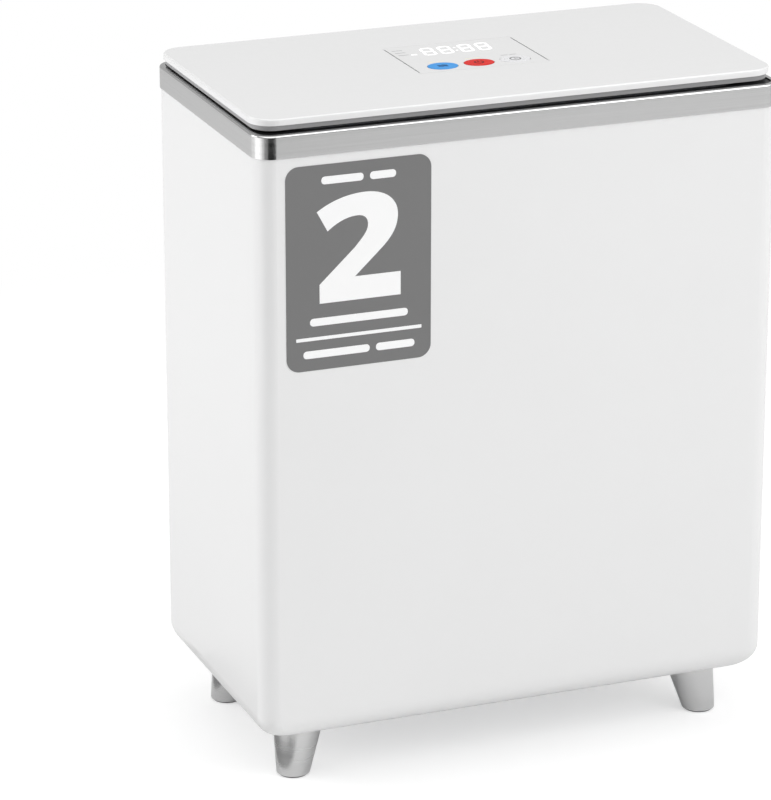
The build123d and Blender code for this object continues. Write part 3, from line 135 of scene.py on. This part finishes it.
# the panel's marks; insets are from its left end
# painted shade of the seams along the panel's left and right ends, drawn as thin dark lines
SEAM_SHADE_WIDTH = 0.4
SEAM_SHADE_INSET = 3.0  # from the panel's front and back
LEVEL_LINE_INSET = 7.2
LEVEL_LINE_LENGTH = 7.4
LEVEL_LINE_HEIGHT = 0.75
LEVEL_LINES_Y = (25.2, 31.4, 37.6)
LIT_MARK = (14.4, 24.0)  # its inset, and its y
LIT_MARK_LENGTH = 4.6
LIT_MARK_HEIGHT = 1.9
LIT_MARK_CORNER = 0.8
DASH_LENGTH = 5.0
DASH_HEIGHT = 0.7
DASH_SPREAD = 3.1
DASH_BEHIND_BUTTON = 3.6

# the buttons' icons
WAVE_LENGTH = 6.8
WAVE_SPACING = 1.6
WAVE_RISE = 0.45
WAVE_WIDTH = 0.84
WAVE_COUNT = 2
WAVE_STEPS = 16
POWER_RADIUS = 2.9
POWER_WIDTH = 1.0
DIAL_RADIUS = 3.5
DIAL_WIDTH = 0.9
HAND_WIDTH = 0.7


# ================================================================ node helpers
def new_material(name):
    """An empty node material and its Principled shader."""
    mat = bpy.data.materials.new(name)
    mat.use_nodes = True
    return mat, mat.node_tree, mat.node_tree.nodes["Principled BSDF"]


def coordinates(tree, stretch):
    """The object's own coordinates in metres, stretched along each axis."""
    place = tree.nodes.new("ShaderNodeTexCoord")
    mapping = tree.nodes.new("ShaderNodeMapping")
    mapping.inputs["Scale"].default_value = stretch
    tree.links.new(place.outputs["Object"], mapping.inputs["Vector"])
    return mapping.outputs["Vector"]


def noise(tree, stretch, scale, detail=3.0, roughness=0.5):
    """Noise from 0 to 1 over the object, with scale features to the metre."""
    node = tree.nodes.new("ShaderNodeTexNoise")
    node.inputs["Scale"].default_value = scale
    node.inputs["Detail"].default_value = detail
    node.inputs["Roughness"].default_value = roughness
    tree.links.new(coordinates(tree, stretch), node.inputs["Vector"])
    return node.outputs["Fac"]


def cells(tree, stretch, scale, feature="DISTANCE_TO_EDGE"):
    """Distances in a pattern of cells, with scale cells to the metre."""
    node = tree.nodes.new("ShaderNodeTexVoronoi")
    node.feature = feature
    node.inputs["Scale"].default_value = scale
    tree.links.new(coordinates(tree, stretch), node.inputs["Vector"])
    return node.outputs["Distance"]


def spread(tree, value, low, high, start=0.3, end=0.7):
    """value, drawn out from low to high."""
    node = tree.nodes.new("ShaderNodeMapRange")
    node.inputs["From Min"].default_value = start
    node.inputs["From Max"].default_value = end
    node.inputs["To Min"].default_value = low
    node.inputs["To Max"].default_value = high
    tree.links.new(value, node.inputs["Value"])
    return node.outputs["Result"]


def between(tree, factor, low, high):
    """A colour between two, by factor."""
    node = tree.nodes.new("ShaderNodeMix")
    node.data_type = "RGBA"
    node.inputs["A"].default_value = (*low, 1.0)
    node.inputs["B"].default_value = (*high, 1.0)
    tree.links.new(factor, node.inputs["Factor"])
    return node.outputs["Result"]


def bump(tree, shader, height, depth):
    """Raises the shader's surface by height times depth metres."""
    node = tree.nodes.new("ShaderNodeBump")
    node.inputs["Strength"].default_value = 1.0
    node.inputs["Distance"].default_value = depth
    tree.links.new(height, node.inputs["Height"])
    tree.links.new(node.outputs["Normal"], shader.inputs["Normal"])


def srgb(red, green, blue):
    """A colour of 0 to 255 as the linear one that a shader takes."""
    def linear(value):
        share = value / 255
        return share / 12.92 if share <= 0.04045 else ((share + 0.055) / 1.055) ** 2.4
    return linear(red), linear(green), linear(blue)


def shade(colour, factor):
    """A darker or lighter kind of a colour."""
    return tuple(min(1.0, part * factor) for part in colour)


# ================================================================ finishes
UNSTRETCHED = (1, 1, 1)
COAT_ROUGHNESS = 0.12
BROAD_STREAK = 6  # times as wide as the fine streaks
BRUSHED_ROUGH_SPREAD = 0.05


def clouded(tree, shader, colour, factor, uneven):
    """Colours the shader from a little darker to a little lighter, by factor."""
    low, high = shade(colour, 1 - uneven), shade(colour, 1 + uneven)
    tint = between(tree, spread(tree, factor, 0.0, 1.0), low, high)
    tree.links.new(tint, shader.inputs["Base Color"])


def surface(
    name, colour, rough, uneven, grain, depth, rough_spread=0.06,
    metallic=0.0, coat=0.0, specular=0.5, cloud=9.0, sheen=0.0,
):
    """A surface whose colour clouds slowly, and whose gloss and height have a fine grain."""
    mat, tree, shader = new_material(name)
    fine = noise(tree, UNSTRETCHED, grain)
    slow = noise(tree, UNSTRETCHED, cloud, 2.0)
    clouded(tree, shader, colour, slow, uneven)
    tree.links.new(
        spread(tree, fine, rough - rough_spread, rough + rough_spread), shader.inputs["Roughness"]
    )
    bump(tree, shader, fine, depth)
    shader.inputs["Metallic"].default_value = metallic
    shader.inputs["Specular IOR Level"].default_value = specular
    shader.inputs["Coat Weight"].default_value = coat
    shader.inputs["Coat Roughness"].default_value = COAT_ROUGHNESS
    shader.inputs["Sheen Weight"].default_value = sheen
    return mat


def brushed(name, colour, rough, stretch, depth, anisotropy, contrast):
    """Metal brushed one way: streaks that vary across the brushing and hardly along it."""
    mat, tree, shader = new_material(name)
    streaks = noise(tree, stretch, 1.0, 4.0, 0.65)
    broad = noise(tree, stretch, 1 / BROAD_STREAK, 2.0)
    clouded(tree, shader, colour, streaks, contrast)
    low, high = rough - BRUSHED_ROUGH_SPREAD, rough + BRUSHED_ROUGH_SPREAD
    tree.links.new(spread(tree, broad, low, high), shader.inputs["Roughness"])
    bump(tree, shader, streaks, depth)
    shader.inputs["Metallic"].default_value = 1.0
    shader.inputs["Anisotropic"].default_value = anisotropy
    return mat


def glow(name):
    """A white lit mark, a little uneven as a diode behind a diffuser is."""
    mat, tree, shader = new_material(name)
    patch = noise(tree, UNSTRETCHED, 260.0, 2.0)
    white = (1.0, 1.0, 1.0)
    tint = between(tree, spread(tree, patch, 0.0, 1.0), shade(white, 0.94), white)
    tree.links.new(tint, shader.inputs["Base Color"])
    tree.links.new(tint, shader.inputs["Emission Color"])
    shader.inputs["Emission Strength"].default_value = GLOW_STRENGTH
    shader.inputs["Roughness"].default_value = 0.3
    return mat


def felt(name, colour):
    """Pressed felt: matted fibres with a soft sheen."""
    mat, tree, shader = new_material(name)
    fibres = noise(tree, (1, 1, 3), 1600.0, 6.0, 0.75)
    mats = cells(tree, (1, 1, 2), 500.0, "F1")
    tint = between(tree, spread(tree, fibres, 0.0, 1.0), shade(colour, 0.82), shade(colour, 1.12))
    tree.links.new(tint, shader.inputs["Base Color"])
    shader.inputs["Roughness"].default_value = 0.95
    shader.inputs["Sheen Weight"].default_value = 0.4
    bump(tree, shader, mats, 0.0004)
    return mat


def woven(name, colour, threads):
    """Silicone on glass cloth: a crossed thread pattern pressed into the surface."""
    mat, tree, shader = new_material(name)
    waves = []
    for direction in ("X", "Z"):
        wave = tree.nodes.new("ShaderNodeTexWave")
        wave.bands_direction = direction
        wave.inputs["Scale"].default_value = threads
        wave.inputs["Distortion"].default_value = 0.6
        tree.links.new(coordinates(tree, UNSTRETCHED), wave.inputs["Vector"])
        waves.append(wave.outputs["Fac"])
    crossed = tree.nodes.new("ShaderNodeMath")
    crossed.operation = "MULTIPLY"
    tree.links.new(waves[0], crossed.inputs[0])
    tree.links.new(waves[1], crossed.inputs[1])
    tint = between(tree, crossed.outputs[0], shade(colour, 0.8), shade(colour, 1.1))
    tree.links.new(tint, shader.inputs["Base Color"])
    shader.inputs["Roughness"].default_value = 0.75
    bump(tree, shader, crossed.outputs[0], 0.0002)
    return mat


def board(name):
    """Green circuit board with faint tracks under its lacquer."""
    mat, tree, shader = new_material(name)
    tracks = cells(tree, (1, 2.2, 1), 240.0)
    near_edge = spread(tree, tracks, 1.0, 0.0, 0.03, 0.09)
    tint = between(tree, near_edge, srgb(20, 92, 56), srgb(46, 124, 74))
    tree.links.new(tint, shader.inputs["Base Color"])
    shader.inputs["Roughness"].default_value = 0.35
    shader.inputs["Coat Weight"].default_value = 0.5
    bump(tree, shader, tracks, 0.00003)
    return mat


# streaks to the metre along each axis
ALONG_RIM = (6.0, 6.0, 1400.0)
ROUND_FOOT = (30.0, 30.0, 900.0)
DOWN_WALL = (900.0, 900.0, 5.0)

WHITE_MOULDING = {"uneven": 0.004, "coat": 0.4, "grain": 260, "depth": 0.000001, "rough_spread": 0.012}
BUTTON = {"rough": 0.5, "uneven": 0.03, "grain": 900, "depth": 0.00001, "specular": 0.12, "cloud": 60}

FINISHES = {
    "white_shell": surface(
        "enamel_shell", srgb(236, 236, 236), 0.34, 0.004, 350, 0.000002, rough_spread=0.015, coat=0.3
    ),
    "white_lid": surface("gloss_lid", srgb(240, 240, 240), 0.24, **WHITE_MOULDING),
    "white_control": surface("gloss_control", srgb(239, 239, 239), 0.22, **WHITE_MOULDING),
    "inner_white": surface("moulded_white", srgb(232, 233, 234), 0.45, 0.012, 1500, 0.00003),
    "grey_plastic": surface("moulded_grey", srgb(166, 166, 167), 0.45, 0.03, 1400, 0.00004),
    "dark_plastic": surface("moulded_black", srgb(26, 27, 29), 0.42, 0.10, 1400, 0.00004),
    "base_plastic": surface("moulded_base", srgb(205, 206, 208), 0.5, 0.03, 1200, 0.00005),
    "brushed_steel": brushed("brushed_rim", srgb(190, 190, 190), 0.18, ALONG_RIM, 0.000003, 0.35, 0.05),
    "satin_steel": brushed("satin_foot", srgb(212, 212, 212), 0.24, ROUND_FOOT, 0.000001, 0.1, 0.02),
    "bucket_aluminium": brushed(
        "anodised_bucket", srgb(205, 207, 210), 0.34, DOWN_WALL, 0.000006, 0.4, 0.06
    ),
    "screw_steel": surface(
        "zinc_screw", srgb(190, 192, 196), 0.3, 0.08, 2500, 0.00002, metallic=1.0, rough_spread=0.1
    ),
    "bright_metal": surface(
        "nickel_pin", srgb(212, 210, 202), 0.2, 0.05, 2200, 0.00001, metallic=1.0, rough_spread=0.08
    ),
    "heater_silicone": woven("heater_silicone", srgb(196, 92, 42), 330.0),
    "insulation": felt("fibre_insulation", srgb(226, 222, 208)),
    "circuit_board": board("circuit_board"),
    "transformer_core": surface("transformer_tape", srgb(214, 178, 60), 0.5, 0.08, 900, 0.00006),
    "relay_blue": surface("relay_case", srgb(34, 78, 148), 0.35, 0.05, 1200, 0.00003),
    "terminal_green": surface("terminal_case", srgb(40, 128, 74), 0.45, 0.06, 1200, 0.00003),
    "lead_jacket": surface("lead_jacket", srgb(62, 62, 64), 0.5, 0.1, 1500, 0.00003),
    "rubber": surface("foot_rubber", srgb(36, 36, 38), 0.75, 0.12, 1800, 0.00008),
    "seal_silicone": surface(
        "seal_silicone", srgb(176, 178, 180), 0.4, 0.03, 900, 0.00003, sheen=0.2
    ),
    "label_grey": surface("label_film", srgb(118, 118, 118), 0.42, 0.012, 1100, 0.000006),
    "display": surface("display_window", srgb(60, 62, 66), 0.25, 0.05, 900, 0.00001, coat=0.5),
    "scent_felt": felt("scent_felt", srgb(214, 206, 188)),
    "button_blue": surface("button_blue", srgb(74, 158, 230), **BUTTON),
    "button_red": surface("button_red", srgb(220, 42, 36), **BUTTON),
    "button_white": surface("button_white", srgb(238, 238, 240), 0.28, 0.01, 900, 0.00001, coat=0.3),
}

for cad_node in NODES.values():
    for material_slot in cad_node.material_slots:
        material_slot.material = FINISHES[material_slot.material.name.split(".")[0]]


# ================================================================ outlines of the printed marks
def arc(centre, radius, start, end, steps=8):
    """Points round part of a circle, from one angle to another in degrees."""
    angles = [radians(start + (end - start) * step / steps) for step in range(steps + 1)]
    return [(centre[0] + radius * cos(a), centre[1] + radius * sin(a)) for a in angles]


def curve(start, pull, push, end, steps=14):
    """Points of a Bezier curve after its start."""
    points = []
    for step in range(1, steps + 1):
        t = step / steps
        weights = ((1 - t) ** 3, 3 * t * (1 - t) ** 2, 3 * t * t * (1 - t), t**3)
        parts = list(zip(weights, (start, pull, push, end)))
        points.append(tuple(sum(weight * point[axis] for weight, point in parts) for axis in (0, 1)))
    return points


def round_bar(centre, width, height, corner):
    """A rectangle with rounded corners."""
    x, y = width / 2 - corner, height / 2 - corner
    outline = []
    for quarter, (side_x, side_y) in enumerate(((1, 1), (-1, 1), (-1, -1), (1, -1))):
        corner_centre = (centre[0] + side_x * x, centre[1] + side_y * y)
        outline += arc(corner_centre, corner, 90 * quarter, 90 * quarter + 90, 4)
    return outline


def moved(outline, x, y):
    """An outline, shifted."""
    return [(px + x, py + y) for px, py in outline]


def ring_outline(centre, radius, width, start, end, steps=24):
    """Part of a ring, as one closed outline."""
    outer = arc(centre, radius + width / 2, start, end, steps)
    inner = arc(centre, radius - width / 2, end, start, steps)
    return outer + inner


def figure_two():
    """A plain bold figure 2 on a base line, from its lower left, drawn and then sized."""
    tip_top, tip_low = (0.0, 60.0), (7.2, 46.8)
    crown, right = (33.0, 70.0), (54.6, 53.5)
    neck, notch = (44.0, 32.5), (25.5, 15.4)
    inner_crown, inner_right, inner_neck = (27.5, 55.2), (34.4, 49.0), (25.6, 34.6)
    foot_left, foot_right = 1.6, 56.5
    outline = [tip_top]
    outline += curve(tip_top, (9.5, 66.4), (21.0, 70.0), crown)
    outline += curve(crown, (46.4, 70.0), (54.6, 63.2), right)
    outline += curve(right, (54.6, 45.0), (50.6, 38.9), neck)
    outline += [notch, (foot_right, notch[1]), (foot_right, 0.0)]
    outline += [(foot_left, 0.0), (foot_left, 12.4), inner_neck]
    outline += curve(inner_neck, (31.4, 41.2), (34.4, 44.4), inner_right)
    outline += curve(inner_right, (34.4, 52.8), (31.8, 55.2), inner_crown)
    outline += curve(inner_crown, (20.6, 55.2), (13.4, 52.0), tip_low)
    return [(x / foot_right * DIGIT_WIDTH, y / crown[1] * DIGIT_HEIGHT) for x, y in outline]


# ================================================================ pieces from outlines
def on_lid(top):
    """Places a point of a drawing, in millimetres, on a level face at a height in metres."""
    return lambda x, y, lift: Vector((x * MM, y * MM, top + lift * MM))


def on_label(left, bottom, face):
    """Places a point of a drawing, in millimetres from the label's lower left, on its face."""
    return lambda x, y, lift: Vector((left + x * MM, face - lift * MM, bottom + y * MM))


def printed(name, outlines, place, thickness, finish, body):
    """Thin printed or inlaid marks, and painted seam shade: each outline becomes a closed solid on the
    face below it.
    """
    mesh = bpy.data.meshes.new(name)
    bm = bmesh.new()
    for outline in outlines:
        low = [bm.verts.new(place(x, y, 0.0)) for x, y in outline]
        high = [bm.verts.new(place(x, y, thickness)) for x, y in outline]
        bm.faces.new(high)
        bm.faces.new(list(reversed(low)))
        for index in range(len(outline)):
            after = (index + 1) % len(outline)
            bm.faces.new((low[index], low[after], high[after], high[index]))
    bmesh.ops.remove_doubles(bm, verts=bm.verts, dist=1e-7)
    bmesh.ops.recalc_face_normals(bm, faces=bm.faces)
    bmesh.ops.triangulate(bm, faces=[face for face in bm.faces if len(face.verts) > 4])
    bm.to_mesh(mesh)
    bm.free()
    mesh.materials.append(finish)
    piece = bpy.data.objects.new(name, mesh)
    bpy.context.scene.collection.objects.link(piece)
    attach(piece, body)


def bar_row(lengths, up, width):
    """Bars side by side, centred on the label, at a height over its lower edge."""
    row = sum(lengths) + WORD_BAR_GAP * (len(lengths) - 1)
    left = (width - row) / 2
    bars = []
    for length in lengths:
        bars.append(round_bar((left + length / 2, up), length, WORD_BAR_HEIGHT, WORD_BAR_CORNER))
        left += length + WORD_BAR_GAP
    return bars


def label_print():
    """The label's figure, its rule and the plain bars that stand where words would."""
    low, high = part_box("front_label")
    width = (high.x - low.x) / MM
    outlines = [moved(figure_two(), (width - DIGIT_WIDTH) / 2, DIGIT_FOOT)]
    outlines.append(round_bar((width / 2, RULE_UP), RULE_LENGTH, RULE_HEIGHT, RULE_CORNER))
    outlines += bar_row(TOP_BARS, TOP_BARS_UP, width)
    outlines += bar_row(MIDDLE_BARS, MIDDLE_BARS_UP, width)
    outlines += bar_row(LOWER_BARS, LOWER_BARS_UP, width)
    ink = surface("label_ink", srgb(254, 254, 254), 0.4, 0.01, 900, 0.000006)
    place = on_label(low.x, low.z, low.y)
    printed("label_figure", outlines, place, LABEL_PRINT_LIFT, ink, "base")


def segment(centre, length, upright):
    """A bar with pointed ends, as a display's segment has."""
    half, tip = length / 2, SEGMENT_WIDTH / 2
    flat = [(-half, 0), (-half + tip, tip), (half - tip, tip)]
    flat += [(half, 0), (half - tip, -tip), (-half + tip, -tip)]
    points = [(y, x) for x, y in reversed(flat)] if upright else flat
    return moved(points, *centre)


def figure_eight(centre):
    """A figure with its seven segments lit, leaning a little."""
    w, h = FIGURE_WIDTH / 2 - SEGMENT_WIDTH / 2, FIGURE_HEIGHT / 2 - SEGMENT_WIDTH / 2
    across, up = 2 * w - SEGMENT_GAP, h - SEGMENT_GAP
    lit = [
        segment((0, h), across, False),
        segment((w, h / 2), up, True),
        segment((w, -h / 2), up, True),
        segment((0, -h), across, False),
        segment((-w, -h / 2), up, True),
        segment((-w, h / 2), up, True),
        segment((0, 0), across, False),
    ]
    return [[(centre[0] + x + FIGURE_SLANT * y, centre[1] + y) for x, y in outline] for outline in lit]


def display_figures():
    """Four lit figures and their colon, which shine through the control panel."""
    low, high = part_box("led_display")
    centre_x, centre_y = (low.x + high.x) / 2 / MM, (low.y + high.y) / 2 / MM
    outlines = []
    for index in range(FIGURE_COUNT):
        place = index - (FIGURE_COUNT - 1) / 2
        offset = place * FIGURE_STEP + (PAIR_SPREAD if place > 0 else -PAIR_SPREAD)
        outlines += figure_eight((centre_x + offset, centre_y))
    for side in (-1, 1):
        dot = (centre_x + side * COLON_SLANT, centre_y + side * COLON_RISE)
        outlines.append(arc(dot, COLON_RADIUS, 0, 337.5, 15))
    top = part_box("control_panel")[1].z
    lit = glow("display_glow")
    printed("display_figures", outlines, on_lid(top), PRINT_LIFT, lit, "lid")


def dashes(name):
    """The two short marks behind a button."""
    start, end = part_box(name)
    middle = (start.x + end.x) / 2 / MM
    behind = end.y / MM + DASH_BEHIND_BUTTON
    return [
        round_bar((middle + side * DASH_SPREAD, behind), DASH_LENGTH, DASH_HEIGHT, MARK_CORNER)
        for side in (-1, 1)
    ]


def panel_marks():
    """The small grey, pale and lit marks beside the figures and over the buttons, and the painted shade
    of the seams along the panel's two ends.
    """
    low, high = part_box("control_panel")
    left = low.x / MM
    top = high.z
    grey = surface("mark_grey", srgb(150, 151, 153), 0.4, 0.03, 900, 0.000006)
    lines = [
        round_bar((left + LEVEL_LINE_INSET, y), LEVEL_LINE_LENGTH, LEVEL_LINE_HEIGHT, MARK_CORNER)
        for y in LEVEL_LINES_Y
    ]
    lines += dashes("white_button")
    printed("panel_marks", lines, on_lid(top), PRINT_LIFT, grey, "lid")
    yellow = surface("mark_yellow", srgb(238, 226, 186), 0.4, 0.03, 900, 0.000006)
    pale = dashes("blue_button") + dashes("red_button")
    printed("panel_pale_marks", pale, on_lid(top), PRINT_LIFT, yellow, "lid")
    # painted shade: thin dark lines where the panel's two ends meet the lid
    seam_shade_finish = surface("painted_seam_shade", srgb(40, 40, 42), 0.5, 0.03, 900, 0.000006, specular=0.12)
    length = (high.y - low.y) / MM - 2 * SEAM_SHADE_INSET
    middle = (high.y + low.y) / 2 / MM
    ends = [
        round_bar((x, middle), SEAM_SHADE_WIDTH, length, SEAM_SHADE_WIDTH / 3)
        for x in (left + SEAM_SHADE_WIDTH, high.x / MM - SEAM_SHADE_WIDTH)
    ]
    printed("panel_seam_shade_lines", ends, on_lid(top), PRINT_LIFT, seam_shade_finish, "lid")
    lit = glow("mark_glow")
    lit_centre = (left + LIT_MARK[0], LIT_MARK[1])
    bars = [round_bar(lit_centre, LIT_MARK_LENGTH, LIT_MARK_HEIGHT, LIT_MARK_CORNER)]
    printed("panel_lit_mark", bars, on_lid(top), PRINT_LIFT, lit, "lid")


def button_icons():
    """A plain sign on each button: waves of air, a power ring and a timer dial."""
    waves = []
    for row in (-1, 0, 1):
        points = []
        for step in range(WAVE_STEPS + 1):
            along = step / WAVE_STEPS
            rise = WAVE_RISE * sin(2 * pi * WAVE_COUNT * along)
            points.append((WAVE_LENGTH * (along - 0.5), WAVE_SPACING * row + rise))
        upper, lower = moved(points, 0, WAVE_WIDTH / 2), moved(points, 0, -WAVE_WIDTH / 2)
        waves.append(upper + lower[::-1])
    power = [
        ring_outline((0, 0), POWER_RADIUS, POWER_WIDTH, 125, 415),
        round_bar((0, 2.2), POWER_WIDTH, 3.2, MARK_CORNER),
    ]
    dial = [
        ring_outline((0, 0), DIAL_RADIUS, DIAL_WIDTH, 0, 359),
        round_bar((0, 0.9), HAND_WIDTH, 2.3, MARK_CORNER),
        round_bar((0.8, -0.2), 2.1, HAND_WIDTH, MARK_CORNER),
    ]
    inks = {
        "blue_button": (waves, srgb(10, 40, 84)),
        "red_button": (power, srgb(78, 10, 12)),
        "white_button": (dial, srgb(112, 112, 114)),
    }
    for name, (outlines, colour) in inks.items():
        low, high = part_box(name)
        middle = (low + high) / 2
        ink = surface(name + "_ink", colour, 0.5, 0.05, 900, 0.000006, specular=0.12)
        marks = [moved(outline, middle.x / MM, middle.y / MM) for outline in outlines]
        printed(name + "_icon", marks, on_lid(high.z), PRINT_LIFT, ink, name)


# ================================================================ studio
def aim(thing, location, target):
    """Puts a camera or lamp at a place, looking at another."""
    thing.location = location
    thing.rotation_mode = "QUATERNION"
    thing.rotation_quaternion = (Vector(target) - Vector(location)).to_track_quat("-Z", "Y")
    bpy.context.scene.collection.objects.link(thing)


def camera():
    """A plain camera at the photograph's viewing angle."""
    data = bpy.data.cameras.new("camera")
    data.lens = LENS
    data.sensor_width = SENSOR
    data.clip_start, data.clip_end = CLIP_START, CLIP_END
    forward = Vector((
        sin(VIEW_TURN) * cos(VIEW_PITCH), cos(VIEW_TURN) * cos(VIEW_PITCH), -sin(VIEW_PITCH)
    ))
    eye = bpy.data.objects.new("camera", data)
    aim(eye, VIEW_TARGET - VIEW_DISTANCE * forward, VIEW_TARGET)
    bpy.context.scene.camera = eye


def softbox(name, location, width, height, power):
    """A large area lamp that looks at the object."""
    data = bpy.data.lights.new(name, "AREA")
    data.shape = "RECTANGLE"
    data.size, data.size_y = width, height
    data.energy = power
    aim(bpy.data.objects.new(name, data), location, LAMPS_TARGET)


def seen_directly(tree):
    """1 for rays from the camera, and for those that glass sends on."""
    path = tree.nodes.new("ShaderNodeLightPath")
    either = tree.nodes.new("ShaderNodeMath")
    either.operation = "MAXIMUM"
    tree.links.new(path.outputs["Is Camera Ray"], either.inputs[0])
    tree.links.new(path.outputs["Is Transmission Ray"], either.inputs[1])
    return either.outputs[0]


def emission(tree, strength):
    """Plain white light of a strength."""
    node = tree.nodes.new("ShaderNodeEmission")
    node.inputs["Strength"].default_value = strength
    return node.outputs[0]


def mixed(tree, factor, first, second):
    """One shader turning into another by factor."""
    node = tree.nodes.new("ShaderNodeMixShader")
    tree.links.new(factor, node.inputs["Fac"])
    tree.links.new(first, node.inputs[1])
    tree.links.new(second, node.inputs[2])
    return node.outputs[0]


def standing_board(name, start, end, grey):
    """A board that stands up between two directions from the corner that it serves."""
    (x0, y0), (x1, y1) = [
        (SCREEN_DISTANCE * cos(turn), SCREEN_DISTANCE * sin(turn))
        for turn in (radians(start), radians(end))
    ]
    corners = [(x0, y0, 0), (x1, y1, 0), (x1, y1, SCREEN_HEIGHT), (x0, y0, SCREEN_HEIGHT)]
    reflected(name, SCREEN_FOOT, corners, grey)


def level_board(name, centre, width, depth, grey):
    """A board that lies level about its middle."""
    x, y = width / 2, depth / 2
    reflected(name, centre, [(-x, -y, 0), (x, -y, 0), (x, y, 0), (-x, y, 0)], grey)


def reflected(name, centre, corners, grey):
    """A board of four corners about a point that only gloss and metal see."""
    mesh = bpy.data.meshes.new(name)
    mesh.from_pydata([Vector(centre) + Vector(corner) for corner in corners], [], [(0, 1, 2, 3)])
    mat = bpy.data.materials.new(name)
    mat.use_nodes = True
    tree = mat.node_tree
    tree.nodes.clear()
    out = tree.nodes.new("ShaderNodeOutputMaterial")
    tree.links.new(emission(tree, grey), out.inputs["Surface"])
    mesh.materials.append(mat)
    card = bpy.data.objects.new(name, mesh)
    bpy.context.scene.collection.objects.link(card)
    card.visible_camera = False
    card.visible_diffuse = False
    card.visible_shadow = False


def world():
    """An even pale room: white behind the object, and softer as a light."""
    studio = bpy.data.worlds.new("studio")
    bpy.context.scene.world = studio
    studio.use_nodes = True
    tree = studio.node_tree
    room = tree.nodes["Background"]
    room.inputs["Color"].default_value = (1.0, 1.0, 1.0, 1.0)
    room.inputs["Strength"].default_value = WORLD_STRENGTH
    white = tree.nodes.new("ShaderNodeBackground")
    white.inputs["Color"].default_value = (1.0, 1.0, 1.0, 1.0)
    seen = mixed(tree, seen_directly(tree), room.outputs[0], white.outputs[0])
    tree.links.new(seen, tree.nodes["World Output"].inputs["Surface"])


def floor():
    """A white floor that keeps the object's shadow and is plain white beyond it."""
    mesh = bpy.data.meshes.new("floor")
    bm = bmesh.new()
    bmesh.ops.create_circle(bm, cap_ends=True, radius=FLOOR_RADIUS, segments=FLOOR_SIDES)
    bm.to_mesh(mesh)
    bm.free()
    mat = bpy.data.materials.new("floor")
    mat.use_nodes = True
    tree = mat.node_tree
    shader = tree.nodes["Principled BSDF"]
    shader.inputs["Base Color"].default_value = (FLOOR_ALBEDO, FLOOR_ALBEDO, FLOOR_ALBEDO, 1.0)
    shader.inputs["Roughness"].default_value = FLOOR_ROUGHNESS
    shader.inputs["Specular IOR Level"].default_value = 0.0
    path = tree.nodes.new("ShaderNodeLightPath")
    lifted = spread(tree, path.outputs["Is Camera Ray"], 0.0, FLOOR_LIFT, 0.0, 1.0)
    near = mixed(tree, lifted, shader.outputs[0], emission(tree, FLOOR_LIFT_WHITE))
    away = tree.nodes.new("ShaderNodeVectorMath")
    away.operation = "LENGTH"
    tree.links.new(tree.nodes.new("ShaderNodeTexCoord").outputs["Object"], away.inputs[0])
    far = spread(tree, away.outputs["Value"], 0.0, 1.0, SHADOW_START, SHADOW_END)
    shown = tree.nodes.new("ShaderNodeMath")
    shown.operation = "MULTIPLY"
    tree.links.new(far, shown.inputs[0])
    tree.links.new(seen_directly(tree), shown.inputs[1])
    ground_shader = mixed(tree, shown.outputs[0], near, emission(tree, 1.0))
    tree.links.new(ground_shader, tree.nodes["Material Output"].inputs["Surface"])
    mesh.materials.append(mat)
    ground = bpy.data.objects.new("floor", mesh)
    bpy.context.scene.collection.objects.link(ground)


label_print()
display_figures()
panel_marks()
button_icons()
camera()
world()
floor()
for lamp in LAMPS:
    softbox(*lamp)
for number, screen_board in enumerate(SCREEN):
    standing_board("screen_%d" % number, *screen_board)
for card_row in LEVEL_BOARDS:
    level_board(*card_row)

bpy.context.scene.view_settings.view_transform = "Standard"
